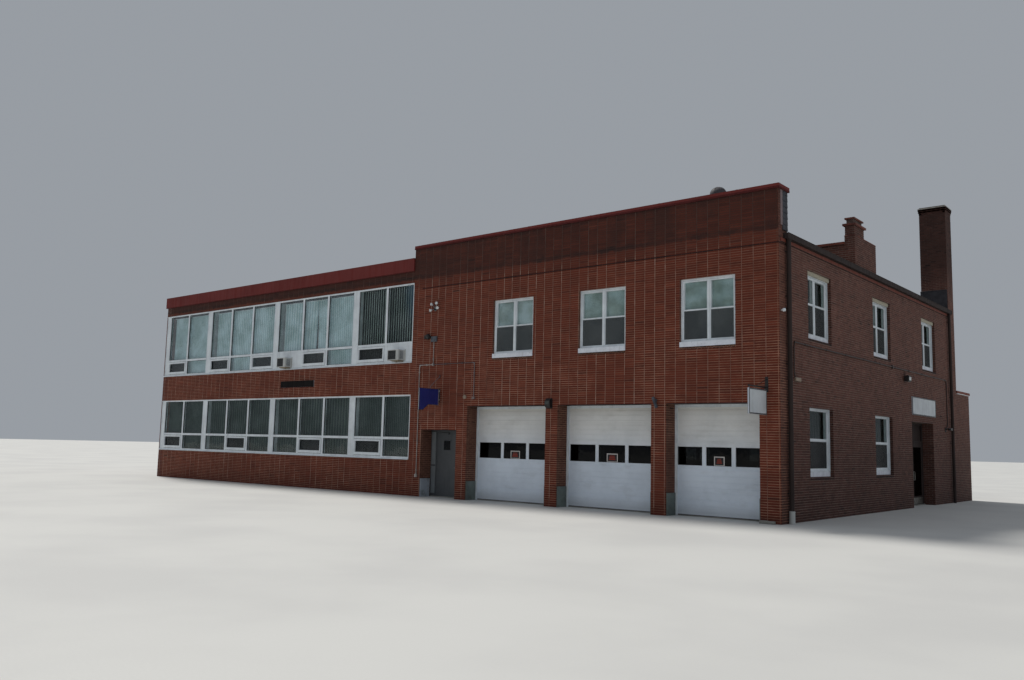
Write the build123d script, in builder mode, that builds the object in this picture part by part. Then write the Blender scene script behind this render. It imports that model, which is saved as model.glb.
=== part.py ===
from build123d import *
import os

os.makedirs("parts", exist_ok=True)

# ---------------------------------------------------------------- dimensions
# Millimetres, Z up, floor at 0.  Plan positions are first taken from the
# right-hand front corner of the brick front (x to the left is negative, y to
# the back is positive) and then moved by OX, OY so that the origin lies at the
# middle of the whole building's footprint box.
OX = 15295.0
OY = -9102.5

MOD = 335.3            # one brick module along the front
T_F = 540.0            # front wall
T_S = 400.0            # side walls
T_R = 350.0            # rear and end walls

# main block
XL = -13680.0          # left edge of the tall front
YB = 17070.0           # back face
Z_HEAD = 3100.0        # head of the three vehicle doors
Z_ENTRY = 2300.0       # head of the entry recess
Z_UP0, Z_UP1 = 3500.0, 3750.0      # upper floor
Z_ROOF0, Z_ROOF1 = 7350.0, 7600.0  # main roof deck
Z_WALL = 7660.0        # top of the front wall below its parapet
Z_PAR = 8770.0         # top of the parapet brick
Z_COP = 8890.0         # top of the metal coping
T_PAR = 590.0          # parapet with its clad back
SLAB = 30.0

# openings in the front (x0, x1)
ENTRY = (-13098.0, -11405.0)
GAR = [(-10930.0, -7610.0), (-7150.0, -3824.0), (-3345.0, -566.0)]
FW = [(-9875.0, -8185.0), (-6400.0, -4710.0), (-2920.0, -1230.0)]
FW_SILL, FW_HEAD = 4810.0, 6595.0
SILL_H = 140.0
JL, ML, MR, JR = 100.0, 45.0, 85.0, 95.0    # jambs and middle bar of a front window
RZ, BZ, TZ = 2.5, 75.0, 95.0               # meeting rail, bottom and top rails

# openings in the right side wall (y0, y1)
SW_UP = [(1940.0, 3680.0), (7330.0, 9070.0), (12680.0, 14420.0)]
SW_LO = [(1940.0, 3680.0), (7330.0, 9070.0)]
SU_SILL, SU_HEAD = 5100.0, 6780.0
SU_LINT = 6890.0       # top of the pale lintels over the upper side windows
SIDE_F, SIDE_B = -170.0, -270.0    # front and back of the side window frames
J_S, M_S = 60.0, 60.0              # their jambs and half their middle bar
REV, NOSE = 105.0, 60.0            # depth of the brick reveal at the sides and over the lintels
CASE = 20.0                        # white lining behind the brick reveals of the side windows
SL_SILL, SL_HEAD = 1290.0, 3060.0
SDOOR = (11190.0, 13850.0)
SDOOR_H = 3000.0
CH_Y0, CH_Y1 = 16500.0, 17300.0    # corner chimney
CH_X0 = -1000.0
CH_TOP = 12000.0
FY0, FY1 = 5800.0, 6110.0          # wall across the roof
F_TOP, F_COP = 8370.0, 8450.0
RC_X0 = -320.0                     # small stack on the side wall
RC_Y1 = 7760.0
RC_LEDGE = 8650.0

# office wing
WX0 = -30700.0         # left end
WY = 12200.0           # depth
W_BASE = 1250.0        # lower ribbon sill
W_R2 = 3540.0          # lower ribbon head
W_S1 = 4680.0          # upper ribbon sill
W_R1 = 7560.0          # upper ribbon head
W_TOP = 7980.0         # underside of fascia
W_FAS = 8460.0         # top of fascia
RT1 = (5360.0, 5450.0) # upper transom bar
RT2 = (1950.0, 2040.0) # lower transom bar
# ribbon panes, from the right: group limits and inner bars
RIB_R = -13680.0
RIB_L = -30660.0
WIDE = [(-17010.0, -16670.0), (-22060.0, -21720.0), (-27120.0, -26770.0)]
THIN = [-15125.0, -18545.0, -20115.0, -23625.0, -25225.0, -28770.0]
POST_L = (-30660.0, -30330.0)
BAR = 105.0
FR = 55.0
PANELS = (-14400.0, -21000.0)      # upper bays with a solid lower panel

# rear annex
AX0 = -6200.0
AY1 = 19250.0
A_TOP = 4350.0
A_COP = 4450.0


PW = [943.0, 943.0, 760.0]         # vehicle door panes
PG = [117.0, 117.0, 125.0]         # gaps between them
PS = [10.0, -10.0, -45.0]           # offset of the panes from the middle of a door
GW = (1400.0, 1915.0)
REAR_UP = [(-12200.0, -10720.0), (-8900.0, -7420.0), (-5600.0, -4120.0)]
REAR_LO = REAR_UP[:2]
DX0, DX1 = -12820.0, -11700.0      # entry leaf opening in its steel frame
SY0, SYM, SY1 = 11290.0, 12520.0, 13750.0   # side entrance pair of leaves


# ---------------------------------------------------------------- helpers
def box(x0, x1, y0, y1, z0, z1, mode=Mode.ADD):
    with BuildSketch(Plane.XY.offset(z0)) as sk:
        with Locations(((x0 + x1) / 2 + OX, (y0 + y1) / 2 + OY)):
            Rectangle(x1 - x0, y1 - y0)
    extrude(sk.sketch, amount=z1 - z0, mode=mode)


def cut(x0, x1, y0, y1, z0, z1):
    box(x0, x1, y0, y1, z0, z1, mode=Mode.SUBTRACT)


def post(x, y, r, z0, z1, mode=Mode.ADD):
    with BuildSketch(Plane.XY.offset(z0)) as sk:
        with Locations((x + OX, y + OY)):
            Circle(r)
    extrude(sk.sketch, amount=z1 - z0, mode=mode)


def rod_x(x0, x1, y, z, r):
    with BuildSketch(Plane.YZ.offset(x0 + OX)) as sk:
        with Locations((y + OY, z)):
            Circle(r)
    extrude(sk.sketch, amount=x1 - x0)


def rod_y(y0, y1, x, z, r):
    with BuildSketch(Plane.XZ.offset(-(y1 + OY))) as sk:
        with Locations((x + OX, z)):
            Circle(r)
    extrude(sk.sketch, amount=y1 - y0)


def plate_x(x0, x1, pts):
    """A plate across X with the outline pts, given as (y, z)."""
    with BuildSketch(Plane.YZ.offset(x0 + OX)) as sk:
        Polygon(*[(y + OY, z) for y, z in pts], align=None)
    extrude(sk.sketch, amount=x1 - x0)


def save(b, name):
    b.part.label = name
    export_step(b.part, "parts/" + name + ".step")


def front_lights(x0, x1, z0, z1):
    """Clear lights of a twin double-hung window, as (x0, x1, z0, z1)."""
    m = (x0 + x1) / 2
    zm = (z0 + z1) / 2 + RZ
    return [(a, b, p, q)
            for a, b in ((x0 + JL, m - ML), (m + MR, x1 - JR))
            for p, q in ((z0 + BZ, zm - 25), (zm + 25, z1 - TZ))]


def double_hung_front(x0, x1, z0, z1, yf, yb):
    box(x0, x1, yf, yb, z0, z1)
    for a, b, p, q in front_lights(x0, x1, z0, z1):
        cut(a, b, yf - 1, yb + 1, p, q)


def panes_front(x0, x1, z0, z1, y):
    for a, b, p, q in front_lights(x0, x1, z0, z1):
        box(a, b, y, y + 8, p, q)


def side_lights(y0, y1, z0, z1, twin):
    """Clear lights of a side window, twin or one wide pair of sashes."""
    m = (y0 + y1) / 2
    low, rail, up = (40, 20, 60) if twin else (85, 32, 10)
    zm = (z0 + z1) / 2 + up
    cols = ((y0 + J_S, m - M_S), (m + M_S, y1 - J_S)) if twin else ((y0 + J_S, y1 - J_S),)
    return [(a, b, p, q) for a, b in cols
            for p, q in ((z0 + low, zm - rail), (zm + rail, z1 - 60))]


def hung_side(y0, y1, z0, z1, twin):
    """Frame of a side window and the white lining in front of it."""
    box(SIDE_B, SIDE_F, y0, y1, z0, z1)
    for a, b, p, q in side_lights(y0, y1, z0, z1, twin):
        cut(SIDE_B - 1, SIDE_F + 1, a, b, p, q)
    box(SIDE_F, -REV, y0, y0 + CASE, z0, z1)
    box(SIDE_F, -REV, y1 - CASE, y1, z0, z1)
    box(SIDE_F, -REV, y0 + CASE, y1 - CASE, z1 - CASE, z1)


def panes_side(y0, y1, z0, z1, x, twin):
    for a, b, p, q in side_lights(y0, y1, z0, z1, twin):
        box(x - 8, x, a, b, p, q)


def ribbon_bays():
    """Clear bays between bars, from right to left, as (x0, x1)."""
    edges = [(RIB_R - FR, RIB_R)]
    edges += [(t - BAR / 2, t + BAR / 2) for t in THIN]
    edges += WIDE
    edges += [POST_L]
    edges.sort()
    return [(edges[i][1], edges[i + 1][0]) for i in range(len(edges) - 1)]


def ribbon(z0, z1, tr, yf, yb, panels=()):
    """A band of windows; a bay that holds an x of panels is solid below."""
    box(RIB_L, RIB_R, yf, yb, z0, z1)
    for a, b in ribbon_bays():
        cut(a, b, yf - 1, yb + 1, tr[1], z1 - FR)
        if not any(a < p < b for p in panels):
            cut(a, b, yf - 1, yb + 1, z0 + FR + 40, tr[0])


def ribbon_panes(z0, z1, tr, y, panels=()):
    for a, b in ribbon_bays():
        box(a, b, y, y + 8, tr[1], z1 - FR)
        if not any(a < p < b for p in panels):
            box(a, b, y, y + 8, z0 + FR + 40, tr[0])


def door_panes(i):
    a, b = GAR[i]
    x = (a + b) / 2 - (3 * PW[i] + 2 * PG[i]) / 2 + PS[i]
    return [(x + k * (PW[i] + PG[i]), x + k * (PW[i] + PG[i]) + PW[i]) for k in range(3)]


# ---------------------------------------------------------------- floors
with BuildPart() as floor_slab:
    box(XL, -T_S, T_F, YB - T_R, 0, SLAB)
    cut(XL - 1, XL + T_R, WY, YB, -1, SLAB + 1)
    cut(CH_X0, 0, CH_Y0, YB, -1, SLAB + 1)
    box(WX0 + T_R, XL, 350, WY - T_R, 0, SLAB)
    box(AX0 + T_R, CH_X0, YB, AY1 - T_R, 0, SLAB)
    box(CH_X0, -T_R, CH_Y1, AY1 - T_R, 0, SLAB)
save(floor_slab, "floor_slab")

with BuildPart() as upper_floor:
    box(XL, -T_S, T_F, YB - T_R, Z_UP0, Z_UP1)
    cut(XL - 1, XL + T_R, WY, YB, Z_UP0 - 1, Z_UP1 + 1)
    cut(CH_X0, 0, CH_Y0, YB, Z_UP0 - 1, Z_UP1 + 1)
    box(WX0 + T_R, XL, 350, WY - T_R, Z_UP0, Z_UP1)
save(upper_floor, "upper_floor")

# ---------------------------------------------------------------- main block
with BuildPart() as front_piers:
    box(XL, ENTRY[0], 0, T_F, 0, Z_HEAD)
    box(ENTRY[1], GAR[0][0], 0, T_F, 0, Z_HEAD)
    box(GAR[0][1], GAR[1][0], 0, T_F, 0, Z_HEAD)
    box(GAR[1][1], GAR[2][0], 0, T_F, 0, Z_HEAD)
    box(GAR[2][1], 0, 0, T_F, 0, Z_HEAD)
save(front_piers, "front_piers")

with BuildPart() as entry_head_wall:
    box(ENTRY[0], ENTRY[1], 0, T_F, Z_ENTRY, Z_HEAD)
save(entry_head_wall, "entry_head_wall")

with BuildPart() as front_upper_wall:
    box(XL, 0, 0, T_F, Z_HEAD, Z_WALL)
    for a, b in FW:
        cut(a, b, -10, T_F + 10, FW_SILL - SILL_H, FW_HEAD)
save(front_upper_wall, "front_upper_wall")

with BuildPart() as front_parapet:
    box(XL, 0, 0, T_PAR, Z_WALL, Z_PAR)
    cut(XL - 1, XL + 12, 250, T_PAR + 1, W_FAS, Z_PAR + 1)
    cut(-12, 1, 250, T_PAR + 1, Z_WALL - 1, Z_PAR + 1)
save(front_parapet, "front_parapet")

with BuildPart() as parapet_end_cladding:
    box(-12, 8, 250, T_PAR, Z_WALL + 30, Z_PAR)
    box(XL - 8, XL + 12, 250, T_PAR, W_FAS, Z_PAR)
save(parapet_end_cladding, "parapet_end_cladding")

with BuildPart() as main_coping:
    box(XL, 50, -45, T_PAR + 55, Z_PAR, Z_COP)
save(main_coping, "main_coping")

with BuildPart() as side_lower_wall:
    box(-T_S, 0, T_F, SDOOR[0], 0, SDOOR_H)
    for a, b in SW_LO:
        cut(-T_S - 10, 10, a, b, SL_SILL - SILL_H, SDOOR_H + 10)
    box(-T_S, 0, SDOOR[1], CH_Y0, 0, SDOOR_H)
save(side_lower_wall, "side_lower_wall")

with BuildPart() as side_upper_wall:
    box(-T_S, 0, T_F, CH_Y0, SDOOR_H, Z_WALL)
    for a, b in SW_UP:
        cut(-T_S - 10, 10, a, b, SU_SILL - SILL_H, SU_LINT)
    for a, b in SW_LO:
        cut(-T_S - 10, 10, a, b, SDOOR_H - 10, SL_HEAD)
save(side_upper_wall, "side_upper_wall")

with BuildPart() as rear_wall:
    box(XL, CH_X0, YB - T_R, YB, 0, Z_WALL)
    for a, b in REAR_LO:
        cut(a, b, YB - T_R - 10, YB + 10, SL_SILL - SILL_H, SL_HEAD)
    for a, b in REAR_UP:
        cut(a, b, YB - T_R - 10, YB + 10, SU_SILL - SILL_H, SU_HEAD)
save(rear_wall, "rear_wall")

with BuildPart() as left_rear_wall:
    box(XL, XL + T_R, WY, YB - T_R, 0, Z_WALL)
save(left_rear_wall, "left_rear_wall")

with BuildPart() as roof_level_walls:
    box(XL, XL + T_R, T_PAR, WY, Z_ROOF1, W_FAS - 60)
    box(XL + T_R, -T_S, FY0, FY1, Z_ROOF1, F_TOP)
    box(-T_S, RC_X0, FY0, FY1, Z_WALL, F_TOP)
save(roof_level_walls, "roof_level_walls")

with BuildPart() as red_copings:
    box(XL + T_R, RC_X0, FY0 - 60, FY1 + 60, F_TOP, F_COP)
    box(-T_R - 40, 45, CH_Y1, AY1 + 45, A_TOP, A_COP)
    box(AX0 - 45, -T_R - 40, AY1 - T_R - 40, AY1 + 45, A_TOP, A_COP)
    box(AX0 - 45, AX0 + T_R + 40, YB, AY1 - T_R - 40, A_TOP, A_COP)
save(red_copings, "red_copings")

with BuildPart() as main_roof:
    box(XL, -T_S, T_F, YB - T_R, Z_ROOF0, Z_ROOF1)
    cut(XL - 1, XL + T_R, WY, YB, Z_ROOF0 - 1, Z_ROOF1 + 1)
    cut(CH_X0, 0, CH_Y0, YB, Z_ROOF0 - 1, Z_ROOF1 + 1)
save(main_roof, "main_roof")

with BuildPart() as eave_board:
    box(0, 25, 100, CH_Y0, 7350, 7450)
save(eave_board, "eave_board")

with BuildPart() as side_gutter:
    box(0, 150, 300, CH_Y0, 7450, 7600)
    cut(15, 135, 315, CH_Y0 - 15, 7465, 7610)
save(side_gutter, "side_gutter")

with BuildPart() as downspouts:
    post(88, 460, 61, 0, 7450)
    post(90, 460, 75, 0, 310)
    post(88, 16230, 55, 0, 7450)
save(downspouts, "downspouts")

with BuildPart() as corner_chimney:
    box(CH_X0, 0, CH_Y0, CH_Y1, 0, CH_TOP)
save(corner_chimney, "corner_chimney")

with BuildPart() as roof_chimney:
    box(RC_X0, 0, FY0, RC_Y1, Z_WALL, RC_LEDGE)
    box(RC_X0 + 15, -15, FY0 + 15, FY0 + 880, RC_LEDGE, 8960)
    box(RC_X0 - 45, 45, FY0 - 45, FY0 + 940, 8960, 9025)
    box(RC_X0 + 50, -50, FY0 + 60, FY0 + 800, 9025, 9175)
    box(RC_X0 + 5, -5, FY0 + 10, FY0 + 850, 9175, 9220)
save(roof_chimney, "roof_chimney")

with BuildPart() as roof_vent:
    post(-2300, 1150, 70, Z_ROOF1, 9150)
    post(-2300, 1150, 250, 9150, 9190)
    with Locations((-2300 + OX, 1150 + OY, 9190)):
        Sphere(250, arc_size1=0, align=(Align.CENTER, Align.CENTER, Align.MIN))
save(roof_vent, "roof_vent")

# ---------------------------------------------------------------- vehicle doors
with BuildPart() as vehicle_doors:
    for i, (a, b) in enumerate(GAR):
        box(a - 60, b + 60, T_F, T_F + 55, SLAB, Z_HEAD + 60)
        for p, q in door_panes(i):
            cut(p, q, T_F - 10, T_F + 90, GW[0], GW[1])
save(vehicle_doors, "vehicle_doors")

with BuildPart() as vehicle_door_trim:
    for a, b in GAR:
        box(a, b, T_F - 45, T_F, 0, Z_HEAD)
        cut(a + 75, b - 75, T_F - 50, T_F + 5, -1, Z_HEAD - 75)
save(vehicle_door_trim, "vehicle_door_trim")

with BuildPart() as pier_bumpers:
    for x in (ENTRY[0], GAR[0][0], GAR[1][0], GAR[2][0]):
        box(x, x + 35, 30, T_F - 60, 0, 620)
    for x in (ENTRY[1], GAR[0][1], GAR[1][1], GAR[2][1]):
        box(x - 35, x, 30, T_F - 60, 0, 620)
save(pier_bumpers, "pier_bumpers")

# ---------------------------------------------------------------- windows
with BuildPart() as front_window_frames:
    for a, b in FW:
        double_hung_front(a, b, FW_SILL, FW_HEAD, 100, 200)
save(front_window_frames, "front_window_frames")

with BuildPart() as side_window_frames:
    for a, b in SW_UP:
        hung_side(a, b, SU_SILL, SU_HEAD, True)
    for a, b in SW_LO:
        hung_side(a, b, SL_SILL, SL_HEAD, False)
save(side_window_frames, "side_window_frames")

with BuildPart() as rear_window_frames:
    for a, b in REAR_UP:
        double_hung_front(a, b, SU_SILL, SU_HEAD, YB - 150, YB - 20)
    for a, b in REAR_LO:
        double_hung_front(a, b, SL_SILL, SL_HEAD, YB - 150, YB - 20)
save(rear_window_frames, "rear_window_frames")

with BuildPart() as window_sills:
    for a, b in FW:
        box(a, b, -12, T_F, FW_SILL - SILL_H, FW_SILL)
    for a, b in SW_UP:
        box(-T_S, -REV, a, b, SU_SILL - SILL_H, SU_SILL)
        box(-T_S, -NOSE, a, b, SU_HEAD, SU_LINT)
    for a, b in SW_LO:
        box(-T_S, -REV, a, b, SL_SILL - SILL_H, SL_SILL)
    for a, b in REAR_UP:
        box(a, b, YB - T_R, YB + 50, SU_SILL - SILL_H, SU_SILL)
    for a, b in REAR_LO:
        box(a, b, YB - T_R, YB + 50, SL_SILL - SILL_H, SL_SILL)
save(window_sills, "window_sills_and_lintels")

with BuildPart() as window_glass:
    for a, b in FW:
        panes_front(a, b, FW_SILL, FW_HEAD, 150)
    for a, b in SW_UP:
        panes_side(a, b, SU_SILL, SU_HEAD, -190, True)
    for a, b in SW_LO:
        panes_side(a, b, SL_SILL, SL_HEAD, -190, False)
    for a, b in REAR_UP:
        panes_front(a, b, SU_SILL, SU_HEAD, YB - 100)
    for a, b in REAR_LO:
        panes_front(a, b, SL_SILL, SL_HEAD, YB - 100)
    for i in range(3):
        for p, q in door_panes(i):
            box(p, q, T_F + 22, T_F + 30, GW[0], GW[1])
save(window_glass, "window_glass")

# ---------------------------------------------------------------- entry door
with BuildPart() as entry_door_frame:
    box(ENTRY[0] - 60, ENTRY[1] + 60, T_F, T_F + 110, SLAB, Z_ENTRY + 60)
    cut(DX0, DX1, T_F - 1, T_F + 111, SLAB - 1, Z_ENTRY - 45)
save(entry_door_frame, "entry_door_frame")

with BuildPart() as entry_door_leaf:
    box(DX0 + 6, DX1 - 8, T_F, T_F + 45, SLAB + 10, Z_ENTRY - 53)
    cut(DX0 + 340, DX0 + 650, T_F - 5, T_F + 18, 1620, 1940)
    cut(DX0 + 340, DX0 + 650, T_F + 26, T_F + 60, 1620, 1940)
    for z in (250, 1150, 2050):
        box(DX0 - 3, DX0 + 50, T_F - 8, T_F, z, z + 110)
        post(DX0 - 3, T_F - 8, 7, z, z + 110)
save(entry_door_leaf, "entry_door_leaf")

# ---------------------------------------------------------------- side entrance
with BuildPart() as side_door_frame:
    box(-T_S - 100, -T_S, SDOOR[0] - 60, SDOOR[1] + 60, SLAB, SDOOR_H + 60)
    cut(-T_S - 101, -T_S + 1, SY0, SY1, SLAB - 1, 2250)
    cut(-T_S - 101, -T_S + 1, SY0, SY1, 2320, SDOOR_H - 60)
    box(-T_S - 55, -T_S - 47, SY0, SY1, 2320, SDOOR_H - 60)
save(side_door_frame, "side_door_frame")

for nm, a, b, pin, inner in (
        ("front", SY0 + 6, SYM - 5, SY0 - 3, 50),
        ("rear", SYM + 5, SY1 - 6, SY1 + 3, -50)):
    with BuildPart() as side_leaf:
        box(-T_S - 45, -T_S, a, b, SLAB + 10, 2243)
        cut(-T_S - 90, -T_S - 26, a + 120, b - 120, SLAB + 300, 2243 - 130)
        cut(-T_S - 18, -T_S + 5, a + 120, b - 120, SLAB + 300, 2243 - 130)
        for z in (250, 1100, 1950):
            box(-T_S, -T_S + 8, min(pin, pin + inner), max(pin, pin + inner), z, z + 110)
            post(-T_S + 8, pin, 7, z, z + 110)
    save(side_leaf, "side_door_leaf_" + nm)

# ---------------------------------------------------------------- wing
with BuildPart() as wing_front_wall:
    box(WX0 + T_R, XL, 0, 350, 0, W_BASE)
    box(WX0 + T_R, XL, 0, 350, W_R2, W_S1)
    box(WX0 + T_R, XL, 0, 350, W_R1, W_TOP)
save(wing_front_wall, "wing_front_wall")

with BuildPart() as wing_end_wall:
    box(WX0, WX0 + T_R, 0, WY, 0, W_TOP)
    for y in (-1, WY - 121):
        cut(WX0 + 40, WX0 + T_R + 10, y, y + 122, W_BASE, W_R2)
        cut(WX0 + 40, WX0 + T_R + 10, y, y + 122, W_S1, W_R1)
save(wing_end_wall, "wing_end_wall")

with BuildPart() as wing_rear_wall:
    box(WX0 + T_R, XL, WY - T_R, WY, 0, W_BASE)
    box(WX0 + T_R, XL, WY - T_R, WY, W_R2, W_S1)
    box(WX0 + T_R, XL, WY - T_R, WY, W_R1, W_TOP)
save(wing_rear_wall, "wing_rear_wall")

with BuildPart() as wing_columns:
    for a, b in WIDE:
        for z0, z1 in ((W_BASE, W_R2), (W_S1, W_R1)):
            box(a + 45, b - 45, 130, 350, z0, z1)
            box(a + 45, b - 45, WY - 350, WY - 130, z0, z1)
save(wing_columns, "wing_columns")

with BuildPart() as wing_roof:
    box(WX0, XL, 0, WY, W_TOP, W_FAS - 60)
save(wing_roof, "wing_roof")

with BuildPart() as wing_fascia:
    box(WX0 - 90, XL, -60, 0, W_TOP, W_FAS)
    box(WX0 - 90, WX0, 0, WY, W_TOP, W_FAS)
    box(WX0 - 90, XL, WY, WY + 60, W_TOP, W_FAS)
save(wing_fascia, "wing_fascia")

with BuildPart() as upper_ribbon_frame:
    ribbon(W_S1, W_R1, RT1, 20, 120, PANELS)
save(upper_ribbon_frame, "upper_ribbon_frame")

with BuildPart() as lower_ribbon_frame:
    ribbon(W_BASE, W_R2, RT2, 20, 120)
save(lower_ribbon_frame, "lower_ribbon_frame")

with BuildPart() as rear_ribbon_frames:
    ribbon(W_S1, W_R1, RT1, WY - 120, WY - 20)
    ribbon(W_BASE, W_R2, RT2, WY - 120, WY - 20)
save(rear_ribbon_frames, "rear_ribbon_frames")

with BuildPart() as ribbon_glass:
    ribbon_panes(W_S1, W_R1, RT1, 70, PANELS)
    ribbon_panes(W_BASE, W_R2, RT2, 70)
    ribbon_panes(W_S1, W_R1, RT1, WY - 78)
    ribbon_panes(W_BASE, W_R2, RT2, WY - 78)
save(ribbon_glass, "ribbon_glass")

# ---------------------------------------------------------------- rear annex
with BuildPart() as annex_walls:
    box(-T_R, 0, CH_Y1, AY1, 0, A_TOP)
    box(AX0, -T_R, AY1 - T_R, AY1, 0, A_TOP)
    box(AX0, AX0 + T_R, YB, AY1 - T_R, 0, A_TOP)
save(annex_walls, "annex_walls")

with BuildPart() as annex_roof:
    box(AX0 + T_R, -T_R, YB, AY1 - T_R, 4050, 4250)
    cut(CH_X0, 0, YB - 1, CH_Y1, 4000, 4300)
save(annex_roof, "annex_roof")

# ---------------------------------------------------------------- fixtures
with BuildPart() as blank_signs:
    plate_x(-12270, -12230, ((-980, 3690), (-980, 2960), (-800, 2960),
                             (-550, 3150), (-60, 3150), (-60, 3690)))
    box(-12262, -12238, -60, 0, 3300, 3360)
    box(-12262, -12238, -60, 0, 3600, 3660)
    box(-380, -340, -1090, -60, 2770, 3420)
    rod_y(-1090, 0, -360, 3480, 18)
    box(-368, -352, -1060, -1030, 3420, 3480)
    box(-368, -352, -130, -100, 3420, 3480)
    box(0, 30, 11240, 14120, 3240, 3890)
    box(-21350, -19190, -20, 0, 3950, 4210)
save(blank_signs, "blank_signs")

with BuildPart() as window_air_conditioners:
    box(-14660, -14080, -300, 20, 4770, 5150)
    box(-21320, -20750, -300, 20, 4770, 5150)
save(window_air_conditioners, "window_air_conditioners")

with BuildPart() as wall_lights:
    box(-12880, -12400, -200, 0, 6470, 6740)
    box(-7560, -7360, -140, 0, 2990, 3310)
    box(-3830, -3630, -180, 0, 3110, 3290)
    box(0, 200, 10330, 10640, 4330, 4560)
save(wall_lights, "wall_lights")

with BuildPart() as conduits:
    rod_x(-13260, -10620, -25, 4560, 14)
    post(-10636, -25, 14, 3400, 4560)
    post(-12575, -25, 14, 4574, 5310)
    rod_y(900, 15700, 25, 4750, 22)
save(conduits, "conduits")
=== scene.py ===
import math
import random

import bmesh
import bpy
import numpy as np
from mathutils import Matrix, Vector


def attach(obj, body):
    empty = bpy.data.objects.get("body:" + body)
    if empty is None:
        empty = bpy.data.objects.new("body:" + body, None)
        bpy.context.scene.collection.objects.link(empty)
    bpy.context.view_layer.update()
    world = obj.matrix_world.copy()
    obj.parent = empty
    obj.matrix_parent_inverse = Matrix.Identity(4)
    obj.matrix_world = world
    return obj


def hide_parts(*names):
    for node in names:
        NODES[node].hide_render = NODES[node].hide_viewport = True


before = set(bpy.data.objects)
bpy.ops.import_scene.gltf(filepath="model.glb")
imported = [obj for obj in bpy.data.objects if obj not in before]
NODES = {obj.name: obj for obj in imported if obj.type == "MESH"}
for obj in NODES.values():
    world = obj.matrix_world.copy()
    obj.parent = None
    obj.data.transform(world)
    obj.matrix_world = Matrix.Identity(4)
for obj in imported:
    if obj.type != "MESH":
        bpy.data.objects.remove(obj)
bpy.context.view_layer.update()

scene = bpy.context.scene

# Plan positions are taken from the right-hand front corner of the brick front
# and moved by OX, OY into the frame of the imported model.  Metres, Z up.
OX, OY = 15.295, -9.1025
MOD = 0.3353
COURSE = 0.06706
BOND = 0.2130

XL, YB = -13.68, 17.07
ENTRY = (-13.098, -11.405)
GAR = [(-10.93, -7.61), (-7.15, -3.824), (-3.345, -0.566)]
FW = [(-9.875, -8.185), (-6.40, -4.71), (-2.92, -1.23)]
FW_SILL, FW_HEAD, SILL_H = 4.81, 6.595, 0.14
JL, ML, MR, JR, RZ, BZ, TZ = 0.10, 0.045, 0.085, 0.095, 0.0025, 0.075, 0.095
T_F, SIDE_F, REV = 0.54, -0.17, 0.105
SW_UP = [(1.94, 3.68), (7.33, 9.07), (12.68, 14.42)]
SW_LO = SW_UP[:2]
SU_SILL, SU_HEAD, SU_LINT = 5.10, 6.78, 6.89
SL_SILL, SL_HEAD = 1.29, 3.06
SDOOR, SDOOR_H = (11.19, 13.85), 3.0
CH_X0, CH_Y0, CH_Y1, CH_TOP = -1.0, 16.5, 17.3, 12.0
FY0, FY1, F_TOP, F_COP = 5.8, 6.11, 8.37, 8.45
RC_X0, RC_Y1, RC_LEDGE = -0.32, 7.76, 8.65
WX0, WY = -30.70, 12.20
W_BASE, W_R2, W_S1, W_R1, W_TOP, W_FAS = 1.25, 3.54, 4.68, 7.56, 7.98, 8.46
RT1, RT2 = (5.36, 5.45), (1.95, 2.04)
RIB_L, RIB_R = -30.66, -13.68
WIDE = [(-17.01, -16.67), (-22.06, -21.72), (-27.12, -26.77)]
THIN = [-15.125, -18.545, -20.115, -23.625, -25.225, -28.77]
POST_L = (-30.66, -30.33)
AX0, AY1, A_TOP, A_COP = -6.2, 19.25, 4.35, 4.45
REAR_UP = [(-12.2, -10.72), (-8.9, -7.42), (-5.6, -4.12)]
REAR_LO = REAR_UP[:2]
PW, PG, PS, GW = [0.943, 0.943, 0.760], [0.117, 0.117, 0.125], [0.010, -0.010, -0.045], (1.40, 1.915)
Z_HEAD, Z_ENTRY, Z_WALL, Z_PAR, Z_COP, T_PAR = 3.1, 2.3, 7.66, 8.77, 8.89, 0.59
PANELS = (-14.4, -21.0)


# ------------------------------------------------------------------ camera
def make_camera():
    yaw, pitch, roll = (math.radians(a) for a in (-40.011, 6.67386, 1.34557))
    fwd = Vector((math.sin(yaw) * math.cos(pitch), math.cos(yaw) * math.cos(pitch), math.sin(pitch)))
    right0 = Vector((math.cos(yaw), -math.sin(yaw), 0.0))
    up0 = right0.cross(fwd)
    right = right0 * math.cos(roll) + up0 * math.sin(roll)
    up = up0 * math.cos(roll) - right0 * math.sin(roll)
    data = bpy.data.cameras.new("camera")
    data.lens, data.sensor_width, data.sensor_fit = 31.527, 36.0, "HORIZONTAL"
    data.clip_start, data.clip_end = 0.1, 600.0
    cam = bpy.data.objects.new("camera", data)
    scene.collection.objects.link(cam)
    pos = Vector((9.5155 + OX, -22.1082 + OY, 1.8472))
    cam.matrix_world = Matrix((
        (right.x, up.x, -fwd.x, pos.x),
        (right.y, up.y, -fwd.y, pos.y),
        (right.z, up.z, -fwd.z, pos.z),
        (0, 0, 0, 1)))
    scene.camera = cam


make_camera()


# ------------------------------------------------------------------ colours and nodes
def C(r, g, b, gain=1.0):
    """A colour given as 0-255 display values, as linear RGBA."""
    out = []
    for v in (r, g, b):
        v /= 255.0
        out.append((v / 12.92 if v <= 0.04045 else ((v + 0.055) / 1.055) ** 2.4) * gain)
    return (*out, 1.0)


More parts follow.
